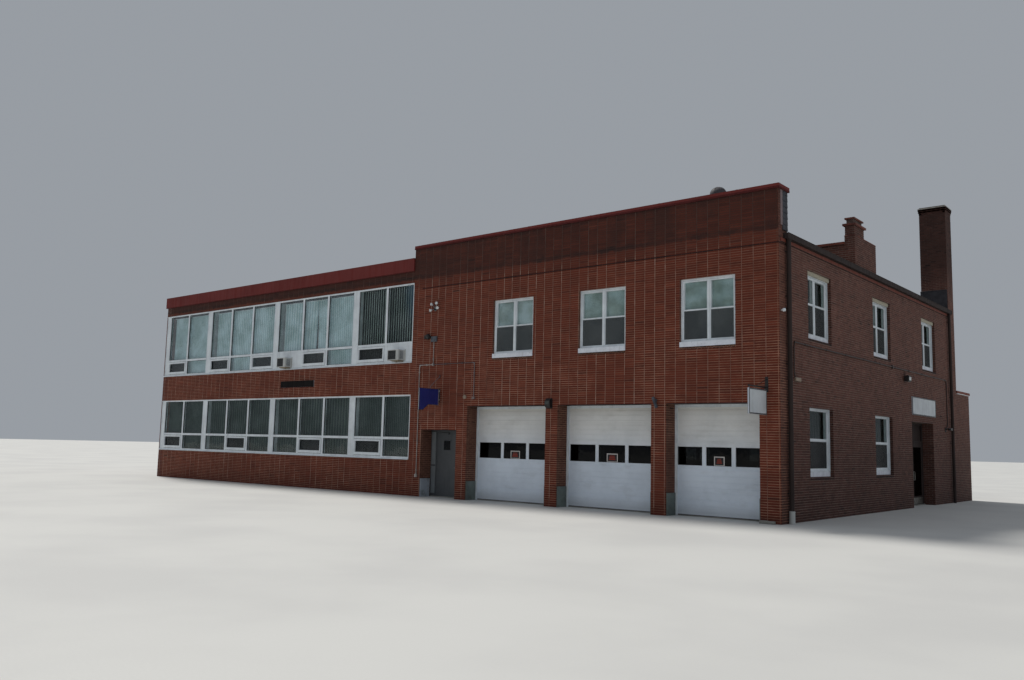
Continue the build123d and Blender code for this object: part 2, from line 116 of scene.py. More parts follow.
class Mat:
    def __init__(self, name):
        self.m = bpy.data.materials.new(name)
        self.m.use_nodes = True
        self.t = self.m.node_tree
        self.t.nodes.clear()
        self.out = self.t.nodes.new("ShaderNodeOutputMaterial")
        self.b = self.t.nodes.new("ShaderNodeBsdfPrincipled")
        self.t.links.new(self.b.outputs[0], self.out.inputs["Surface"])
        self._pos = None
        self._sep = None

    def new(self, kind, **kw):
        n = self.t.nodes.new(kind)
        for k, v in kw.items():
            setattr(n, k, v)
        return n

    def put(self, socket, value):
        if isinstance(value, bpy.types.NodeSocket):
            self.t.links.new(value, socket)
        elif socket.type == "RGBA" and len(value) == 3:
            socket.default_value = (*value, 1.0)
        else:
            socket.default_value = value

    @property
    def pos(self):
        if self._pos is None:
            self._pos = self.new("ShaderNodeTexCoord").outputs["Object"]
        return self._pos

    @property
    def xyz(self):
        if self._sep is None:
            s = self.new("ShaderNodeSeparateXYZ")
            self.put(s.inputs[0], self.pos)
            self._sep = s.outputs
        return self._sep

    def scaled(self, x, y, z, vec=None):
        n = self.new("ShaderNodeVectorMath", operation="MULTIPLY")
        self.put(n.inputs[0], self.pos if vec is None else vec)
        n.inputs[1].default_value = (x, y, z)
        return n.outputs[0]

    def noise(self, scale, detail=4.0, rough=0.55, dist=0.0, vec=None):
        n = self.new("ShaderNodeTexNoise")
        self.put(n.inputs["Vector"], self.pos if vec is None else vec)
        n.inputs["Scale"].default_value = scale
        n.inputs["Detail"].default_value = detail
        n.inputs["Roughness"].default_value = rough
        n.inputs["Distortion"].default_value = dist
        return n.outputs[0]

    def voronoi(self, scale, vec=None, feature="F1"):
        n = self.new("ShaderNodeTexVoronoi", feature=feature)
        self.put(n.inputs["Vector"], self.pos if vec is None else vec)
        n.inputs["Scale"].default_value = scale
        return n.outputs["Distance"]

    def tone(self):
        a = self.new("ShaderNodeAttribute", attribute_name="tone")
        s = self.new("ShaderNodeSeparateColor")
        self.put(s.inputs[0], a.outputs["Color"])
        return s.outputs

    def ramp(self, fac, *stops):
        n = self.new("ShaderNodeValToRGB")
        e = n.color_ramp.elements
        while len(e) < len(stops):
            e.new(0.5)
        for i, (p, c) in enumerate(stops):
            e[i].position = p
            e[i].color = c if len(c) == 4 else (*c, 1.0)
        self.put(n.inputs[0], fac)
        return n.outputs[0]

    def span(self, v, a, b, c=0.0, d=1.0, smooth=True):
        n = self.new("ShaderNodeMapRange", interpolation_type="SMOOTHSTEP" if smooth else "LINEAR")
        for name, val in (("Value", v), ("From Min", a), ("From Max", b), ("To Min", c), ("To Max", d)):
            self.put(n.inputs[name], val)
        return n.outputs["Result"]

    def math(self, op, a, b=0.0, clamp=False):
        n = self.new("ShaderNodeMath", operation=op, use_clamp=clamp)
        self.put(n.inputs[0], a)
        self.put(n.inputs[1], b)
        return n.outputs[0]

    def mix(self, fac, a, b, mode="MIX"):
        n = self.new("ShaderNodeMix", data_type="RGBA", blend_type=mode)
        self.put(n.inputs[0], fac)
        self.put(n.inputs[6], a)
        self.put(n.inputs[7], b)
        return n.outputs[2]

    def bump(self, height, dist, strength=1.0, normal=None):
        n = self.new("ShaderNodeBump")
        n.inputs["Strength"].default_value = strength
        n.inputs["Distance"].default_value = dist
        self.put(n.inputs["Height"], height)
        if normal is not None:
            self.put(n.inputs["Normal"], normal)
        return n.outputs[0]

    def set(self, **kw):
        names = {"color": "Base Color", "rough": "Roughness", "metal": "Metallic", "normal": "Normal",
                 "spec": "Specular IOR Level", "coat": "Coat Weight", "sheen": "Sheen Weight"}
        for k, v in kw.items():
            self.put(self.b.inputs[names[k]], v)
        return self.m


def brick_material(name, stops, zone=None, ground=0.75):
    m = Mat(name)
    r, g, b = m.tone()
    x, y, z = m.xyz[0], m.xyz[1], m.xyz[2]
    col = m.ramp(r, *stops)
    speck = m.noise(85.0, 3.0, 0.65)
    col = m.mix(m.span(speck, 0.52, 0.72, 0.0, 0.45), col, m.mix(1.0, col, (0.42, 0.40, 0.40, 1), "MULTIPLY"))
    big = m.noise(0.55, 4.0, 0.55)
    col = m.mix(m.span(big, 0.35, 0.7, 0.0, 0.38), col, m.mix(1.0, col, (0.62, 0.55, 0.55, 1), "MULTIPLY"))
    # rain streaks run down from the top
    streak = m.noise(1.0, 5.0, 0.6, vec=m.scaled(4.5, 4.5, 0.28))
    col = m.mix(m.span(streak, 0.50, 0.74, 0.0, 0.34), col, m.mix(1.0, col, (0.52, 0.48, 0.48, 1), "MULTIPLY"))
    if zone:
        # the weathered parapet: it darkens by degrees, with a stained band, and painted shade under the coping
        wave = m.math("MULTIPLY", m.math("SUBTRACT", streak, 0.5), 0.22)
        zz = m.math("ADD", z, wave)
        left = m.span(x, OX - 13.7, OX - 9.0, 0.9, 0.0)
        top = m.math("MAXIMUM", m.span(zz, 7.24, 7.40, 0.0, 0.42), m.span(zz, 7.70, 7.80))
        col = m.mix(top, col, m.mix(1.0, col, (0.66, 0.78, 0.92, 1), "MULTIPLY"))
        blot = m.span(m.noise(1.1, 5.0, 0.65, vec=m.scaled(1.0, 1.0, 0.5)), 0.40, 0.66)
        blot = m.math("MAXIMUM", blot, m.math("MULTIPLY", left, m.span(zz, 8.7, 8.2, 0.3, 1.0)))
        col = m.mix(m.math("MULTIPLY", m.span(zz, 7.55, 7.85), m.math("MULTIPLY", blot, 0.55)), col, C(44, 31, 29))
        band = m.math("MULTIPLY", m.span(zz, 7.64, 7.70), m.span(zz, 7.84, 7.76))
        patchy = m.span(m.noise(0.8, 4.0, 0.6, vec=m.scaled(1.0, 1.0, 0.05)), 0.34, 0.60, 0.35, 0.80)
        col = m.mix(m.math("MULTIPLY", band, patchy), col, C(34, 27, 27))
        # painted shade: the top courses darken under the overhang of the coping
        under = m.math("MULTIPLY", m.span(zz, 8.60, 8.77), 0.45)
        col = m.mix(under, col, C(34, 27, 28))
    low = m.span(m.math("ADD", z, m.math("MULTIPLY", streak, 0.9)), 1.5, 0.35, 0.0, ground)
    col = m.mix(m.math("MULTIPLY", low, 0.6), col, m.mix(1.0, col, (0.56, 0.55, 0.58, 1), "MULTIPLY"))
    height = m.math("ADD", m.math("MULTIPLY", m.noise(140.0, 2.0, 0.6), 0.7),
                    m.math("MULTIPLY", m.noise(1.0, 2.0, 0.5, vec=m.scaled(260.0, 260.0, 18.0)), 0.5))
    if not zone:
        # soot on the stacks above the roof, and the lower storey made darker towards the ground
        col = m.mix(m.span(m.math("ADD", z, m.math("MULTIPLY", streak, 0.8)), 8.2, 10.2, 0.0, 0.9), col, m.mix(1.0, col, (0.40, 0.42, 0.45, 1), "MULTIPLY"))
        col = m.mix(m.span(m.math("ADD", z, m.math("MULTIPLY", big, 1.6)), 4.6, 2.2, 0.0, 0.8), col, m.mix(1.0, col, (0.60, 0.60, 0.62, 1), "MULTIPLY"))
    return m.set(color=col, rough=m.span(speck, 0.3, 0.7, 0.78, 0.95), normal=m.bump(height, 0.0018, 0.8), spec=0.32)


def mortar_material(name, light, dark, zone=None, wash=None):
    """zone: colour of the joints in the weathered parapet. wash: colour that covers the joints higher up."""
    m = Mat(name)
    z = m.xyz[2]
    n1 = m.noise(5.0, 5.0, 0.6)
    col = m.mix(m.span(n1, 0.35, 0.68), light, dark)
    fine = m.noise(160.0, 3.0, 0.6)
    col = m.mix(m.span(fine, 0.5, 0.75, 0.0, 0.5), col, m.mix(1.0, col, (0.6, 0.58, 0.56, 1), "MULTIPLY"))
    if wash:
        cloud = m.noise(0.45, 4.0, 0.6)
        col = m.mix(m.math("MAXIMUM", m.span(m.math("ADD", z, m.math("MULTIPLY", cloud, 2.4)), 5.2, 7.2, 0.0, 0.6),
                           m.span(cloud, 0.47, 0.60, 0.0, 0.72)), col, wash)
    if zone:
        col = m.mix(m.span(z, 7.30, 7.34, 0.0, 0.55), col, zone)
        col = m.mix(m.span(z, 7.62, 7.72, 0.0, 0.75), col, zone)
    else:
        col = m.mix(m.span(z, 8.2, 9.6, 0.0, 0.75), col, C(42, 35, 34))
    return m.set(color=col, rough=m.span(n1, 0.3, 0.7, 0.86, 0.97), normal=m.bump(fine, 0.003, 0.7), spec=0.2)


def pointing_material(name):
    """Raised pale joints. The tone carries how much of the pale mortar is left in each length."""
    m = Mat(name)
    r = m.tone()[0]
    z = m.xyz[2]
    fine = m.noise(120.0, 3.0, 0.6)
    bits = m.noise(1.0, 4.0, 0.65, vec=m.scaled(2.0, 2.0, 7.0))
    fac = m.math("ADD", r, m.math("MULTIPLY", m.math("SUBTRACT", bits, 0.5), 0.9), clamp=True)
    col = m.ramp(fac, (0.0, C(100, 66, 56)), (0.35, C(138, 100, 86)), (0.7, C(172, 142, 126)), (1.0, C(200, 178, 162)))
    col = m.mix(m.span(z, 7.3, 7.75, 0.0, 0.82), col, C(64, 46, 42))
    col = m.mix(m.span(fine, 0.5, 0.75, 0.0, 0.4), col, m.mix(1.0, col, (0.6, 0.58, 0.56, 1), "MULTIPLY"))
    return m.set(color=col, rough=m.span(bits, 0.3, 0.7, 0.84, 0.97), normal=m.bump(fine, 0.002, 0.6))


def paint_material(name, base, worn, rough=0.42, wear=0.3, dirt=(0.45, 0.42, 0.38, 1), scale=2.5, grain=None, spec=0.4):
    """Enamel or house paint with grime, fading and small worn spots."""
    m = Mat(name)
    fade = m.noise(scale, 5.0, 0.6)
    col = m.mix(m.span(fade, 0.36, 0.68), base, m.mix(1.0, base, (0.86, 0.86, 0.87, 1), "MULTIPLY"))
    streak = m.noise(1.0, 5.0, 0.62, vec=m.scaled(9.0, 9.0, 0.8))
    col = m.mix(m.span(streak, 0.5, 0.78, 0.0, 0.5), col, m.mix(1.0, col, dirt, "MULTIPLY"))
    chip = m.noise(38.0, 4.0, 0.7)
    col = m.mix(m.span(chip, 0.70 - 0.06 * wear, 0.74 - 0.06 * wear), col, worn)
    height = m.noise(75.0, 3.0, 0.55)
    if grain:
        height = m.math("ADD", height, m.math("MULTIPLY", m.noise(1.0, 3.0, 0.6, vec=m.scaled(*grain)), 1.2))
    rgh = m.span(streak, 0.35, 0.75, rough, min(1.0, rough + 0.28))
    return m.set(color=col, rough=rgh, normal=m.bump(height, 0.0012, 0.55), spec=spec)


def metal_material(name, base, dark, rough=0.42, metal=0.85, scale=6.0):
    m = Mat(name)
    n1 = m.noise(scale, 5.0, 0.6)
    spang = m.voronoi(28.0)
    col = m.mix(m.span(n1, 0.35, 0.7), base, dark)
    col = m.mix(m.span(spang, 0.1, 0.6, 0.0, 0.25), col, m.mix(1.0, col, (0.7, 0.72, 0.74, 1), "MULTIPLY"))
    return m.set(color=col, metal=metal, rough=m.span(n1, 0.3, 0.75, rough, rough + 0.25),
                 normal=m.bump(m.noise(90.0, 2.0, 0.5), 0.0008, 0.5))


def conduit_material(name):
    m = Mat(name)
    x, y = m.xyz[0], m.xyz[1]
    n1 = m.noise(9.0, 5.0, 0.6)
    n2 = m.noise(1.0, 4.0, 0.6, vec=m.scaled(30.0, 30.0, 4.0))
    pale = m.mix(m.span(n1, 0.35, 0.7), C(176, 172, 168), C(140, 132, 128))
    dull = m.mix(m.span(n1, 0.35, 0.7), C(104, 92, 92), C(78, 66, 66))
    dark = m.mix(m.span(n1, 0.35, 0.7), C(50, 38, 36), C(66, 48, 42))
    col = m.mix(m.span(x, OX - 12.60, OX - 12.50), pale, dull)
    col = m.mix(m.span(x, OX - 10.75, OX - 10.70), col, C(122, 112, 112))
    # the run on the side wall is dark brown: partly its dull paint, partly painted shade for the shadow it casts on the
    # wall
    col = m.mix(m.span(x, OX - 2.0, OX - 1.0), col, dark)
    return m.set(color=col, metal=0.15, rough=m.span(n2, 0.3, 0.75, 0.42, 0.7), normal=m.bump(n2, 0.0008, 0.5))


def sign_material(name, dark, pale):
    """Plate metal of the signs: dark on the hanger rods, pale on the boards."""
    m = Mat(name)
    x, z = m.xyz[0], m.xyz[2]
    n1 = m.noise(4.0, 5.0, 0.6)
    rod = m.math("MULTIPLY", m.span(z, 3.425, 3.43), m.math("MULTIPLY", m.span(x, OX - 1.0, OX - 0.9), m.span(x, OX - 0.05, OX - 0.10)))
    col = m.mix(m.span(n1, 0.35, 0.7), pale, m.mix(1.0, pale, (0.85, 0.86, 0.88, 1), "MULTIPLY"))
    col = m.mix(rod, col, dark)
    return m.set(color=col, rough=m.span(n1, 0.3, 0.7, 0.4, 0.62), normal=m.bump(m.noise(80.0, 3.0, 0.55), 0.001, 0.5))


def concrete_material(name, base, dark, moss=None, paint_and_sky_light=None):
    m = Mat(name)
    n1 = m.noise(1.6, 6.0, 0.62)
    col = m.mix(m.span(n1, 0.35, 0.7), base, dark)
    # the entry bumper is pale blue-grey: its paint, made paler and bluer as painted sky light
    if paint_and_sky_light:
        col = m.mix(m.span(m.xyz[0], OX - 12.7, OX - 12.8), col, m.mix(m.span(n1, 0.35, 0.7), paint_and_sky_light, m.mix(1.0, paint_and_sky_light, (0.85, 0.86, 0.88, 1), "MULTIPLY")))
    pore = m.noise(60.0, 4.0, 0.7)
    col = m.mix(m.span(pore, 0.58, 0.75, 0.0, 0.6), col, m.mix(1.0, col, (0.55, 0.55, 0.53, 1), "MULTIPLY"))
    if moss:
        col = m.mix(m.span(m.noise(4.0, 5.0, 0.65), 0.5, 0.7, 0.0, 0.55), col, moss)
    return m.set(color=col, rough=m.span(n1, 0.3, 0.7, 0.8, 0.96), normal=m.bump(pore, 0.004, 0.7))


def door_material(name):
    """Ribbed steel doors, with painted light: warm and darker near the head as painted shade under the lintel, bluer
    towards the ground as painted sky light, and a little dustier near the ground.
    """
    m = Mat(name)
    z = m.xyz[2]
    fade = m.noise(0.9, 5.0, 0.6)
    cloud = m.noise(1.0, 4.0, 0.6, vec=m.scaled(1.2, 1.2, 3.0))
    # painted sky light: the lower part of the door is given a bluer white
    col = m.mix(m.span(z, 1.2, 2.6), C(224, 234, 246), C(232, 232, 230))
    col = m.mix(m.span(fade, 0.36, 0.68), col, m.mix(1.0, col, (0.88, 0.885, 0.89, 1), "MULTIPLY"))
    col = m.mix(m.span(cloud, 0.52, 0.72, 0.0, 0.5), col, m.mix(1.0, col, (0.82, 0.81, 0.79, 1), "MULTIPLY"))
    # painted shade: a warm darkening under the head of the opening
    col = m.mix(m.math("MULTIPLY", m.span(z, 2.75, 3.02), 0.5), col, m.mix(1.0, col, (0.78, 0.75, 0.68, 1), "MULTIPLY"))
    col = m.mix(m.math("MULTIPLY", m.span(z, 0.45, 0.05), 0.35), col, C(150, 146, 138))
    spot = m.noise(17.0, 4.0, 0.7)
    col = m.mix(m.span(spot, 0.70, 0.74, 0.0, 0.5), col, C(140, 134, 120))
    height = m.noise(75.0, 3.0, 0.55)
    return m.set(color=col, rough=m.span(cloud, 0.35, 0.75, 0.38, 0.6), normal=m.bump(height, 0.0009, 0.5), spec=0.4)


def membrane_material(name, base, dust):
    m = Mat(name)
    n1 = m.noise(0.5, 6.0, 0.6)
    pond = m.voronoi(0.35)
    col = m.mix(m.span(n1, 0.40, 0.72, 0.0, 0.45), base, dust)
    col = m.mix(m.span(pond, 0.1, 0.45, 0.35, 0.0), col, m.mix(1.0, col, (0.6, 0.6, 0.62, 1), "MULTIPLY"))
    grit = m.noise(130.0, 3.0, 0.7)
    return m.set(color=col, rough=m.span(n1, 0.3, 0.7, 0.78, 0.95), normal=m.bump(grit, 0.004, 0.8))


def cloth_material(name, base, fold, rough=0.85, painted_sky_light=None, mid=None, sheen=0.15, spec=0.5):
    """Hung cloth. The tone runs from the back of a fold (0) to its front (1); the colour goes from the fold colour at
    the back to the base colour at the front, painted shade in the folds.
    """
    m = Mat(name)
    r = m.tone()[0]
    col = m.mix(m.span(r, 0.0, 1.0, 0.0, 1.0, smooth=False), fold, base)
    if mid:
        col = m.ramp(r, (0.0, fold), (0.66, fold), (0.84, mid), (0.97, base))
    if painted_sky_light:
        # painted sky light: a patch at the top right is made paler and bluer, where the light falls on it
        x, z = m.xyz[0], m.xyz[2]
        up = m.math("MULTIPLY", m.span(x, OX - 14.6, OX - 13.75), m.span(m.math("ADD", z, m.math("MULTIPLY", m.noise(2.0, 3.0, 0.5), 0.8)), 6.4, 7.7))
        col = m.mix(m.math("MULTIPLY", up, 0.75), col, painted_sky_light)
    weave = m.math("ADD", m.noise(1.0, 2.0, 0.5, vec=m.scaled(420.0, 420.0, 60.0)),
                   m.noise(1.0, 2.0, 0.5, vec=m.scaled(60.0, 60.0, 420.0)))
    col = m.mix(m.span(m.noise(1.1, 3.0, 0.5), 0.35, 0.7, 0.0, 0.35), col, m.mix(1.0, col, (0.72, 0.76, 0.76, 1), "MULTIPLY"))
    col = m.mix(m.span(weave, 0.8, 1.2, 0.0, 0.15), col, m.mix(1.0, col, (0.6, 0.62, 0.62, 1), "MULTIPLY"))
    return m.set(color=col, rough=rough, normal=m.bump(weave, 0.0004, 0.3), sheen=sheen, spec=spec)


def blind_material(name, base, low):
    """Smooth roller blind, cooler and cloudier from place to place."""
    m = Mat(name)
    z = m.xyz[2]
    cloud = m.noise(1.6, 4.0, 0.55, vec=m.scaled(1.0, 1.0, 1.6))
    col = m.mix(m.span(cloud, 0.38, 0.64), base, low)
    weave = m.math("ADD", m.noise(1.0, 2.0, 0.5, vec=m.scaled(420.0, 420.0, 60.0)),
                   m.noise(1.0, 2.0, 0.5, vec=m.scaled(60.0, 60.0, 420.0)))
    col = m.mix(m.span(weave, 0.8, 1.2, 0.0, 0.12), col, m.mix(1.0, col, (0.7, 0.72, 0.72, 1), "MULTIPLY"))
    return m.set(color=col, rough=m.span(cloud, 0.3, 0.7, 0.62, 0.8), normal=m.bump(weave, 0.0003, 0.25))


def glass_material(name, tint, shade_tint=None, gloss=0.9, sides=False, ribbon=False):
    """Thin sheet glass: it lets tinted light through and mirrors the surroundings."""
    m = Mat(name)
    clear = m.new("ShaderNodeBsdfTransparent")
    shine = m.new("ShaderNodeBsdfGlossy")
    grime = m.noise(1.3, 4.0, 0.6)
    wave = m.noise(1.7, 2.0, 0.5)
    col = m.mix(m.span(grime, 0.35, 0.7), tint, m.mix(1.0, tint, (0.86, 0.88, 0.87, 1), "MULTIPLY"))
    # the vehicle door panes get a near-black tint, painted shade standing in for the unlit garage behind them
    if shade_tint:
        low = m.math("MULTIPLY", m.span(m.xyz[2], 2.2, 2.1, smooth=False),
                     m.math("MULTIPLY", m.span(m.xyz[1], OY + 0.53, OY + 0.55, smooth=False),
                            m.span(m.xyz[1], OY + 0.60, OY + 0.59, smooth=False)))
        col = m.mix(low, col, shade_tint)
    m.put(clear.inputs["Color"], col)
    shine.inputs["Color"].default_value = (0.95, 0.97, 1.0, 1.0)
    m.put(shine.inputs["Roughness"], m.span(grime, 0.4, 0.7, 0.015, 0.10))
    m.put(shine.inputs["Normal"], m.bump(wave, 0.006, 0.5))
    fres = m.new("ShaderNodeFresnel")
    fres.inputs["IOR"].default_value = 1.5
    # the far face of a sheet would mirror everything at a slant, so the share is capped
    fac = m.math("MULTIPLY", m.math("MINIMUM", fres.outputs[0], 0.28), gloss)
    if ribbon:
        # the upper panes to the left of the last wide post mirror more than the rest
        x, z = m.xyz[0], m.xyz[2]
        up = m.span(z, 4.0, 4.1, 0.0, 1.0, smooth=False)
        part = m.math("ADD", m.math("MULTIPLY", up, m.span(x, OX - 17.00, OX - 16.98, 0.74, -0.04, smooth=False)), 0.26)
        fac = m.math("MULTIPLY", fac, part)
    if shade_tint:
        fac = m.math("MULTIPLY", fac, m.span(low, 0.0, 1.0, 1.0, 0.3))
    if sides:
        # the side panes mirror less
        fac = m.math("MULTIPLY", fac, m.span(m.xyz[0], OX - 0.30, OX - 0.28, 1.0, 0.22, smooth=False))
    mixs = m.new("ShaderNodeMixShader")
    m.put(mixs.inputs[0], fac)
    m.put(mixs.inputs[1], clear.outputs[0])
    m.put(mixs.inputs[2], shine.outputs[0])
    m.t.nodes.remove(m.b)
    m.put(m.out.inputs["Surface"], mixs.outputs[0])
    return m.m


def screen_material(name, base):
    """Fine insect screen, dark, with a little light passing the mesh."""
    m = Mat(name)
    clear = m.new("ShaderNodeBsdfTransparent")
    weave = m.math("ADD", m.noise(1.0, 1.0, 0.5, vec=m.scaled(700.0, 700.0, 40.0)),
                   m.noise(1.0, 1.0, 0.5, vec=m.scaled(40.0, 40.0, 700.0)))
    sag = m.noise(1.2, 3.0, 0.5)
    col = m.mix(m.span(sag, 0.35, 0.65), base, m.mix(1.0, base, (0.72, 0.74, 0.76, 1), "MULTIPLY"))
    m.set(color=col, rough=0.7, normal=m.bump(weave, 0.0006, 0.6))
    mixs = m.new("ShaderNodeMixShader")
    m.put(mixs.inputs[0], m.span(weave, 0.75, 1.25, 0.72, 0.92))
    m.put(mixs.inputs[1], clear.outputs[0])
    m.put(mixs.inputs[2], m.b.outputs[0])
    m.put(m.out.inputs["Surface"], mixs.outputs[0])
    return m.m


M_BRICK_F = brick_material("front_brick", (
    (0.0, C(42, 27, 24)), (0.08, C(64, 33, 26)), (0.28, C(92, 41, 29)), (0.5, C(105, 47, 32)), (0.75, C(119, 55, 38)), (1.0, C(136, 70, 50))), zone=True)
# painted shade: the reveal brick is a browner, greyer copy of the front brick, the cast the reveals have in shade
M_BRICK_R = brick_material("reveal_brick_painted_shade", (
    (0.0, C(42, 30, 27)), (0.08, C(62, 44, 38)), (0.28, C(88, 60, 50)), (0.5, C(101, 68, 57)), (0.75, C(112, 76, 64)), (1.0, C(126, 90, 76))), zone=True)
# painted shade: side brick and side mortar are browner, greyer copies of the front ones, for the faces that stand in
# shade
M_BRICK_S = brick_material("side_brick_painted_shade", (
    (0.0, C(46, 31, 29)), (0.08, C(63, 41, 36)), (0.28, C(87, 56, 48)), (0.5, C(101, 65, 55)), (0.75, C(114, 74, 63)), (1.0, C(130, 88, 76))))
M_MORTAR_F = mortar_material("front_mortar", C(178, 134, 112), C(140, 100, 82), zone=C(56, 40, 36), wash=C(112, 74, 60))
M_MORTAR_S = mortar_material("side_mortar_painted_shade", C(138, 118, 110), C(104, 86, 80))
M_POINT = pointing_material("pale_pointing")
M_WHITE = paint_material("white_paint", C(228, 235, 240), C(128, 124, 118), 0.38, wear=0.4, dirt=(0.62, 0.60, 0.57, 1))
M_LINTEL = paint_material("cream_lintel", C(178, 172, 154), C(140, 130, 112), 0.7, wear=0.6, scale=4.0, dirt=(0.72, 0.70, 0.66, 1), spec=0.2)
M_SILL = paint_material("sill_paint", C(228, 233, 242), C(112, 106, 100), 0.5, wear=0.9, scale=4.0, dirt=(0.62, 0.60, 0.58, 1))
M_DOOR = door_material("door_enamel")
M_GREY = paint_material("grey_door_paint", C(78, 81, 84), C(66, 66, 64), 0.4, wear=0.4, dirt=(0.7, 0.7, 0.68, 1))
M_GREY_L = paint_material("pale_door_panel", C(122, 127, 130), C(90, 90, 88), 0.4, wear=0.4, dirt=(0.7, 0.7, 0.68, 1))
M_DARK = paint_material("dark_enamel", C(56, 47, 45), C(78, 62, 54), 0.68, wear=0.5, dirt=(0.7, 0.68, 0.66, 1), spec=0.2)
M_BLACK = paint_material("black_enamel", C(34, 33, 34), C(70, 66, 62), 0.38, wear=0.3)
M_MAROON = paint_material("maroon_enamel", C(112, 47, 44), C(92, 46, 42), 0.6, wear=0.25, scale=0.8, dirt=(0.84, 0.82, 0.82, 1), spec=0.2)
M_MAROON_D = paint_material("maroon_shadow", C(84, 36, 35), C(60, 32, 30), 0.75, wear=0.3, dirt=(0.8, 0.8, 0.8, 1), spec=0.15)
M_RUST = paint_material("rust_red_paint", C(118, 60, 46), C(88, 50, 40), 0.6, wear=0.9, scale=3.0, dirt=(0.6, 0.56, 0.54, 1))
M_SLATE = paint_material("slate_sheet", C(52, 54, 62), C(84, 84, 90), 0.55, wear=0.5, dirt=(0.75, 0.75, 0.75, 1))
M_TRIM = paint_material("pale_corner_trim", C(128, 112, 114), C(96, 80, 78), 0.5, wear=0.5, dirt=(0.7, 0.68, 0.66, 1))
M_LEAD = metal_material("lead_flashing", C(50, 49, 55), C(38, 37, 42), 0.55, 0.15)
M_GALV = metal_material("galvanised", C(150, 152, 154), C(104, 106, 108), 0.42, 0.6)
M_GALV_D = metal_material("weathered_lamp_metal", C(92, 97, 106), C(60, 64, 72), 0.45, 0.25)
M_CONDUIT = conduit_material("conduit_tube")
M_VENT = paint_material("vent_dome", C(74, 72, 76), C(52, 50, 52), 0.6, wear=0.4, spec=0.25)
M_CONC = concrete_material("concrete", C(150, 148, 142), C(118, 116, 110))
M_BLOCK = concrete_material("bumper_concrete", C(116, 126, 122), C(92, 100, 98), C(84, 92, 78), paint_and_sky_light=C(172, 180, 190))
M_TERRA = concrete_material("cap_clay", C(118, 64, 50), C(84, 48, 42))
M_ROOF = membrane_material("roofing", C(62, 62, 62), C(108, 106, 100))
M_BLIND = blind_material("roller_blind", C(184, 202, 208), C(158, 174, 170))
M_DRAPE = cloth_material("pale_drape", C(234, 250, 252), C(172, 204, 212))
M_DRAPE_R = cloth_material("narrow_fold_drape", C(186, 202, 198), C(14, 18, 18), painted_sky_light=C(96, 128, 156), mid=C(60, 72, 71), sheen=0.01, spec=0.12)
M_DRAPE_D = cloth_material("dark_drape", C(84, 97, 91), C(42, 51, 48), sheen=0.01, spec=0.12)
M_GLASS = glass_material("window_sheet", (0.93, 0.96, 0.95, 1), (0.10, 0.105, 0.105, 1), sides=True)
M_GLASS_R = glass_material("ribbon_sheet", (0.95, 0.975, 0.975, 1), gloss=0.78, ribbon=True)
# door panes tinted near-black, painted shade for the unlit rooms behind them
M_GLASS_D = glass_material("door_sheet", (0.12, 0.125, 0.125, 1), gloss=0.3)
M_SCREEN = screen_material("insect_screen", C(76, 82, 84))
M_SCREEN_D = screen_material("insect_screen_dark", C(40, 43, 45))
M_NAVY = paint_material("navy_board", C(40, 48, 122), C(62, 70, 120), 0.42, wear=0.2, dirt=(0.8, 0.8, 0.82, 1))
M_BOARD = paint_material("pale_board", C(206, 212, 216), C(150, 150, 146), 0.42, wear=0.2, dirt=(0.75, 0.74, 0.72, 1))
M_SIGN = sign_material("sign_plate", C(36, 34, 35), C(190, 196, 206))
M_PLAQUE = paint_material("dark_plaque", C(24, 21, 21), C(50, 40, 36), 0.75, wear=0.3, spec=0.15)
M_SHADE_SHEET = cloth_material("dark_shade_sheet", C(46, 52, 50), C(30, 35, 34), sheen=0.01, spec=0.15)
M_ORANGE = paint_material("orange_card", C(142, 54, 38), C(150, 70, 52), 0.6, wear=0.1)
M_CARD = paint_material("white_card", C(214, 208, 204), C(180, 170, 166), 0.6, wear=0.1)
M_RUBBER = paint_material("rubber_seal", C(44, 44, 46), C(62, 60, 58), 0.7, wear=0.2)
M_BRASS = metal_material("satin_hardware", C(150, 148, 142), C(110, 106, 100), 0.35, 0.9)
M_LENS = paint_material("lamp_lens", C(216, 220, 218), C(190, 190, 184), 0.25, wear=0.0)
M_LENS_D = paint_material("dark_lens", C(70, 74, 72), C(90, 92, 88), 0.22, wear=0.0)
M_CASE = paint_material("cooler_case", C(190, 192, 190), C(150, 144, 132), 0.5, wear=0.3, dirt=(0.7, 0.69, 0.66, 1))
M_PAN = paint_material("drip_pan", C(150, 138, 116), C(116, 100, 84), 0.6, wear=0.6)
M_IVORY = paint_material("ivory_case", C(150, 134, 118), C(110, 96, 84), 0.5, wear=0.4)


# ------------------------------------------------------------------ mesh code
def _chamfer_topology():
    idx, pts = {}, []
    for sx in (0, 1):
        for sy in (0, 1):
            for sz in (0, 1):
                for a in range(3):
                    idx[(sx, sy, sz, a)] = len(pts)
                    pts.append(((sx, sy, sz), a))
    faces = []
    for a in range(3):
        b, c = [k for k in range(3) if k != a]
        for s in (0, 1):
            loop = []
            for tb, tc in ((0, 0), (1, 0), (1, 1), (0, 1)):
                k = [0, 0, 0]
                k[a], k[b], k[c] = s, tb, tc
                loop.append(idx[(*k, a)])
            faces.append(loop)
    for a in range(3):
        for b in range(a + 1, 3):
            c = 3 - a - b
            for sa in (0, 1):
                for sb in (0, 1):
                    k0, k1 = [0, 0, 0], [0, 0, 0]
                    k0[a] = k1[a] = sa
                    k0[b] = k1[b] = sb
                    k1[c] = 1
                    faces.append([idx[(*k0, a)], idx[(*k1, a)], idx[(*k1, b)], idx[(*k0, b)]])
    for sx in (0, 1):
        for sy in (0, 1):
            for sz in (0, 1):
                faces.append([idx[(sx, sy, sz, a)] for a in range(3)])
    return pts, faces


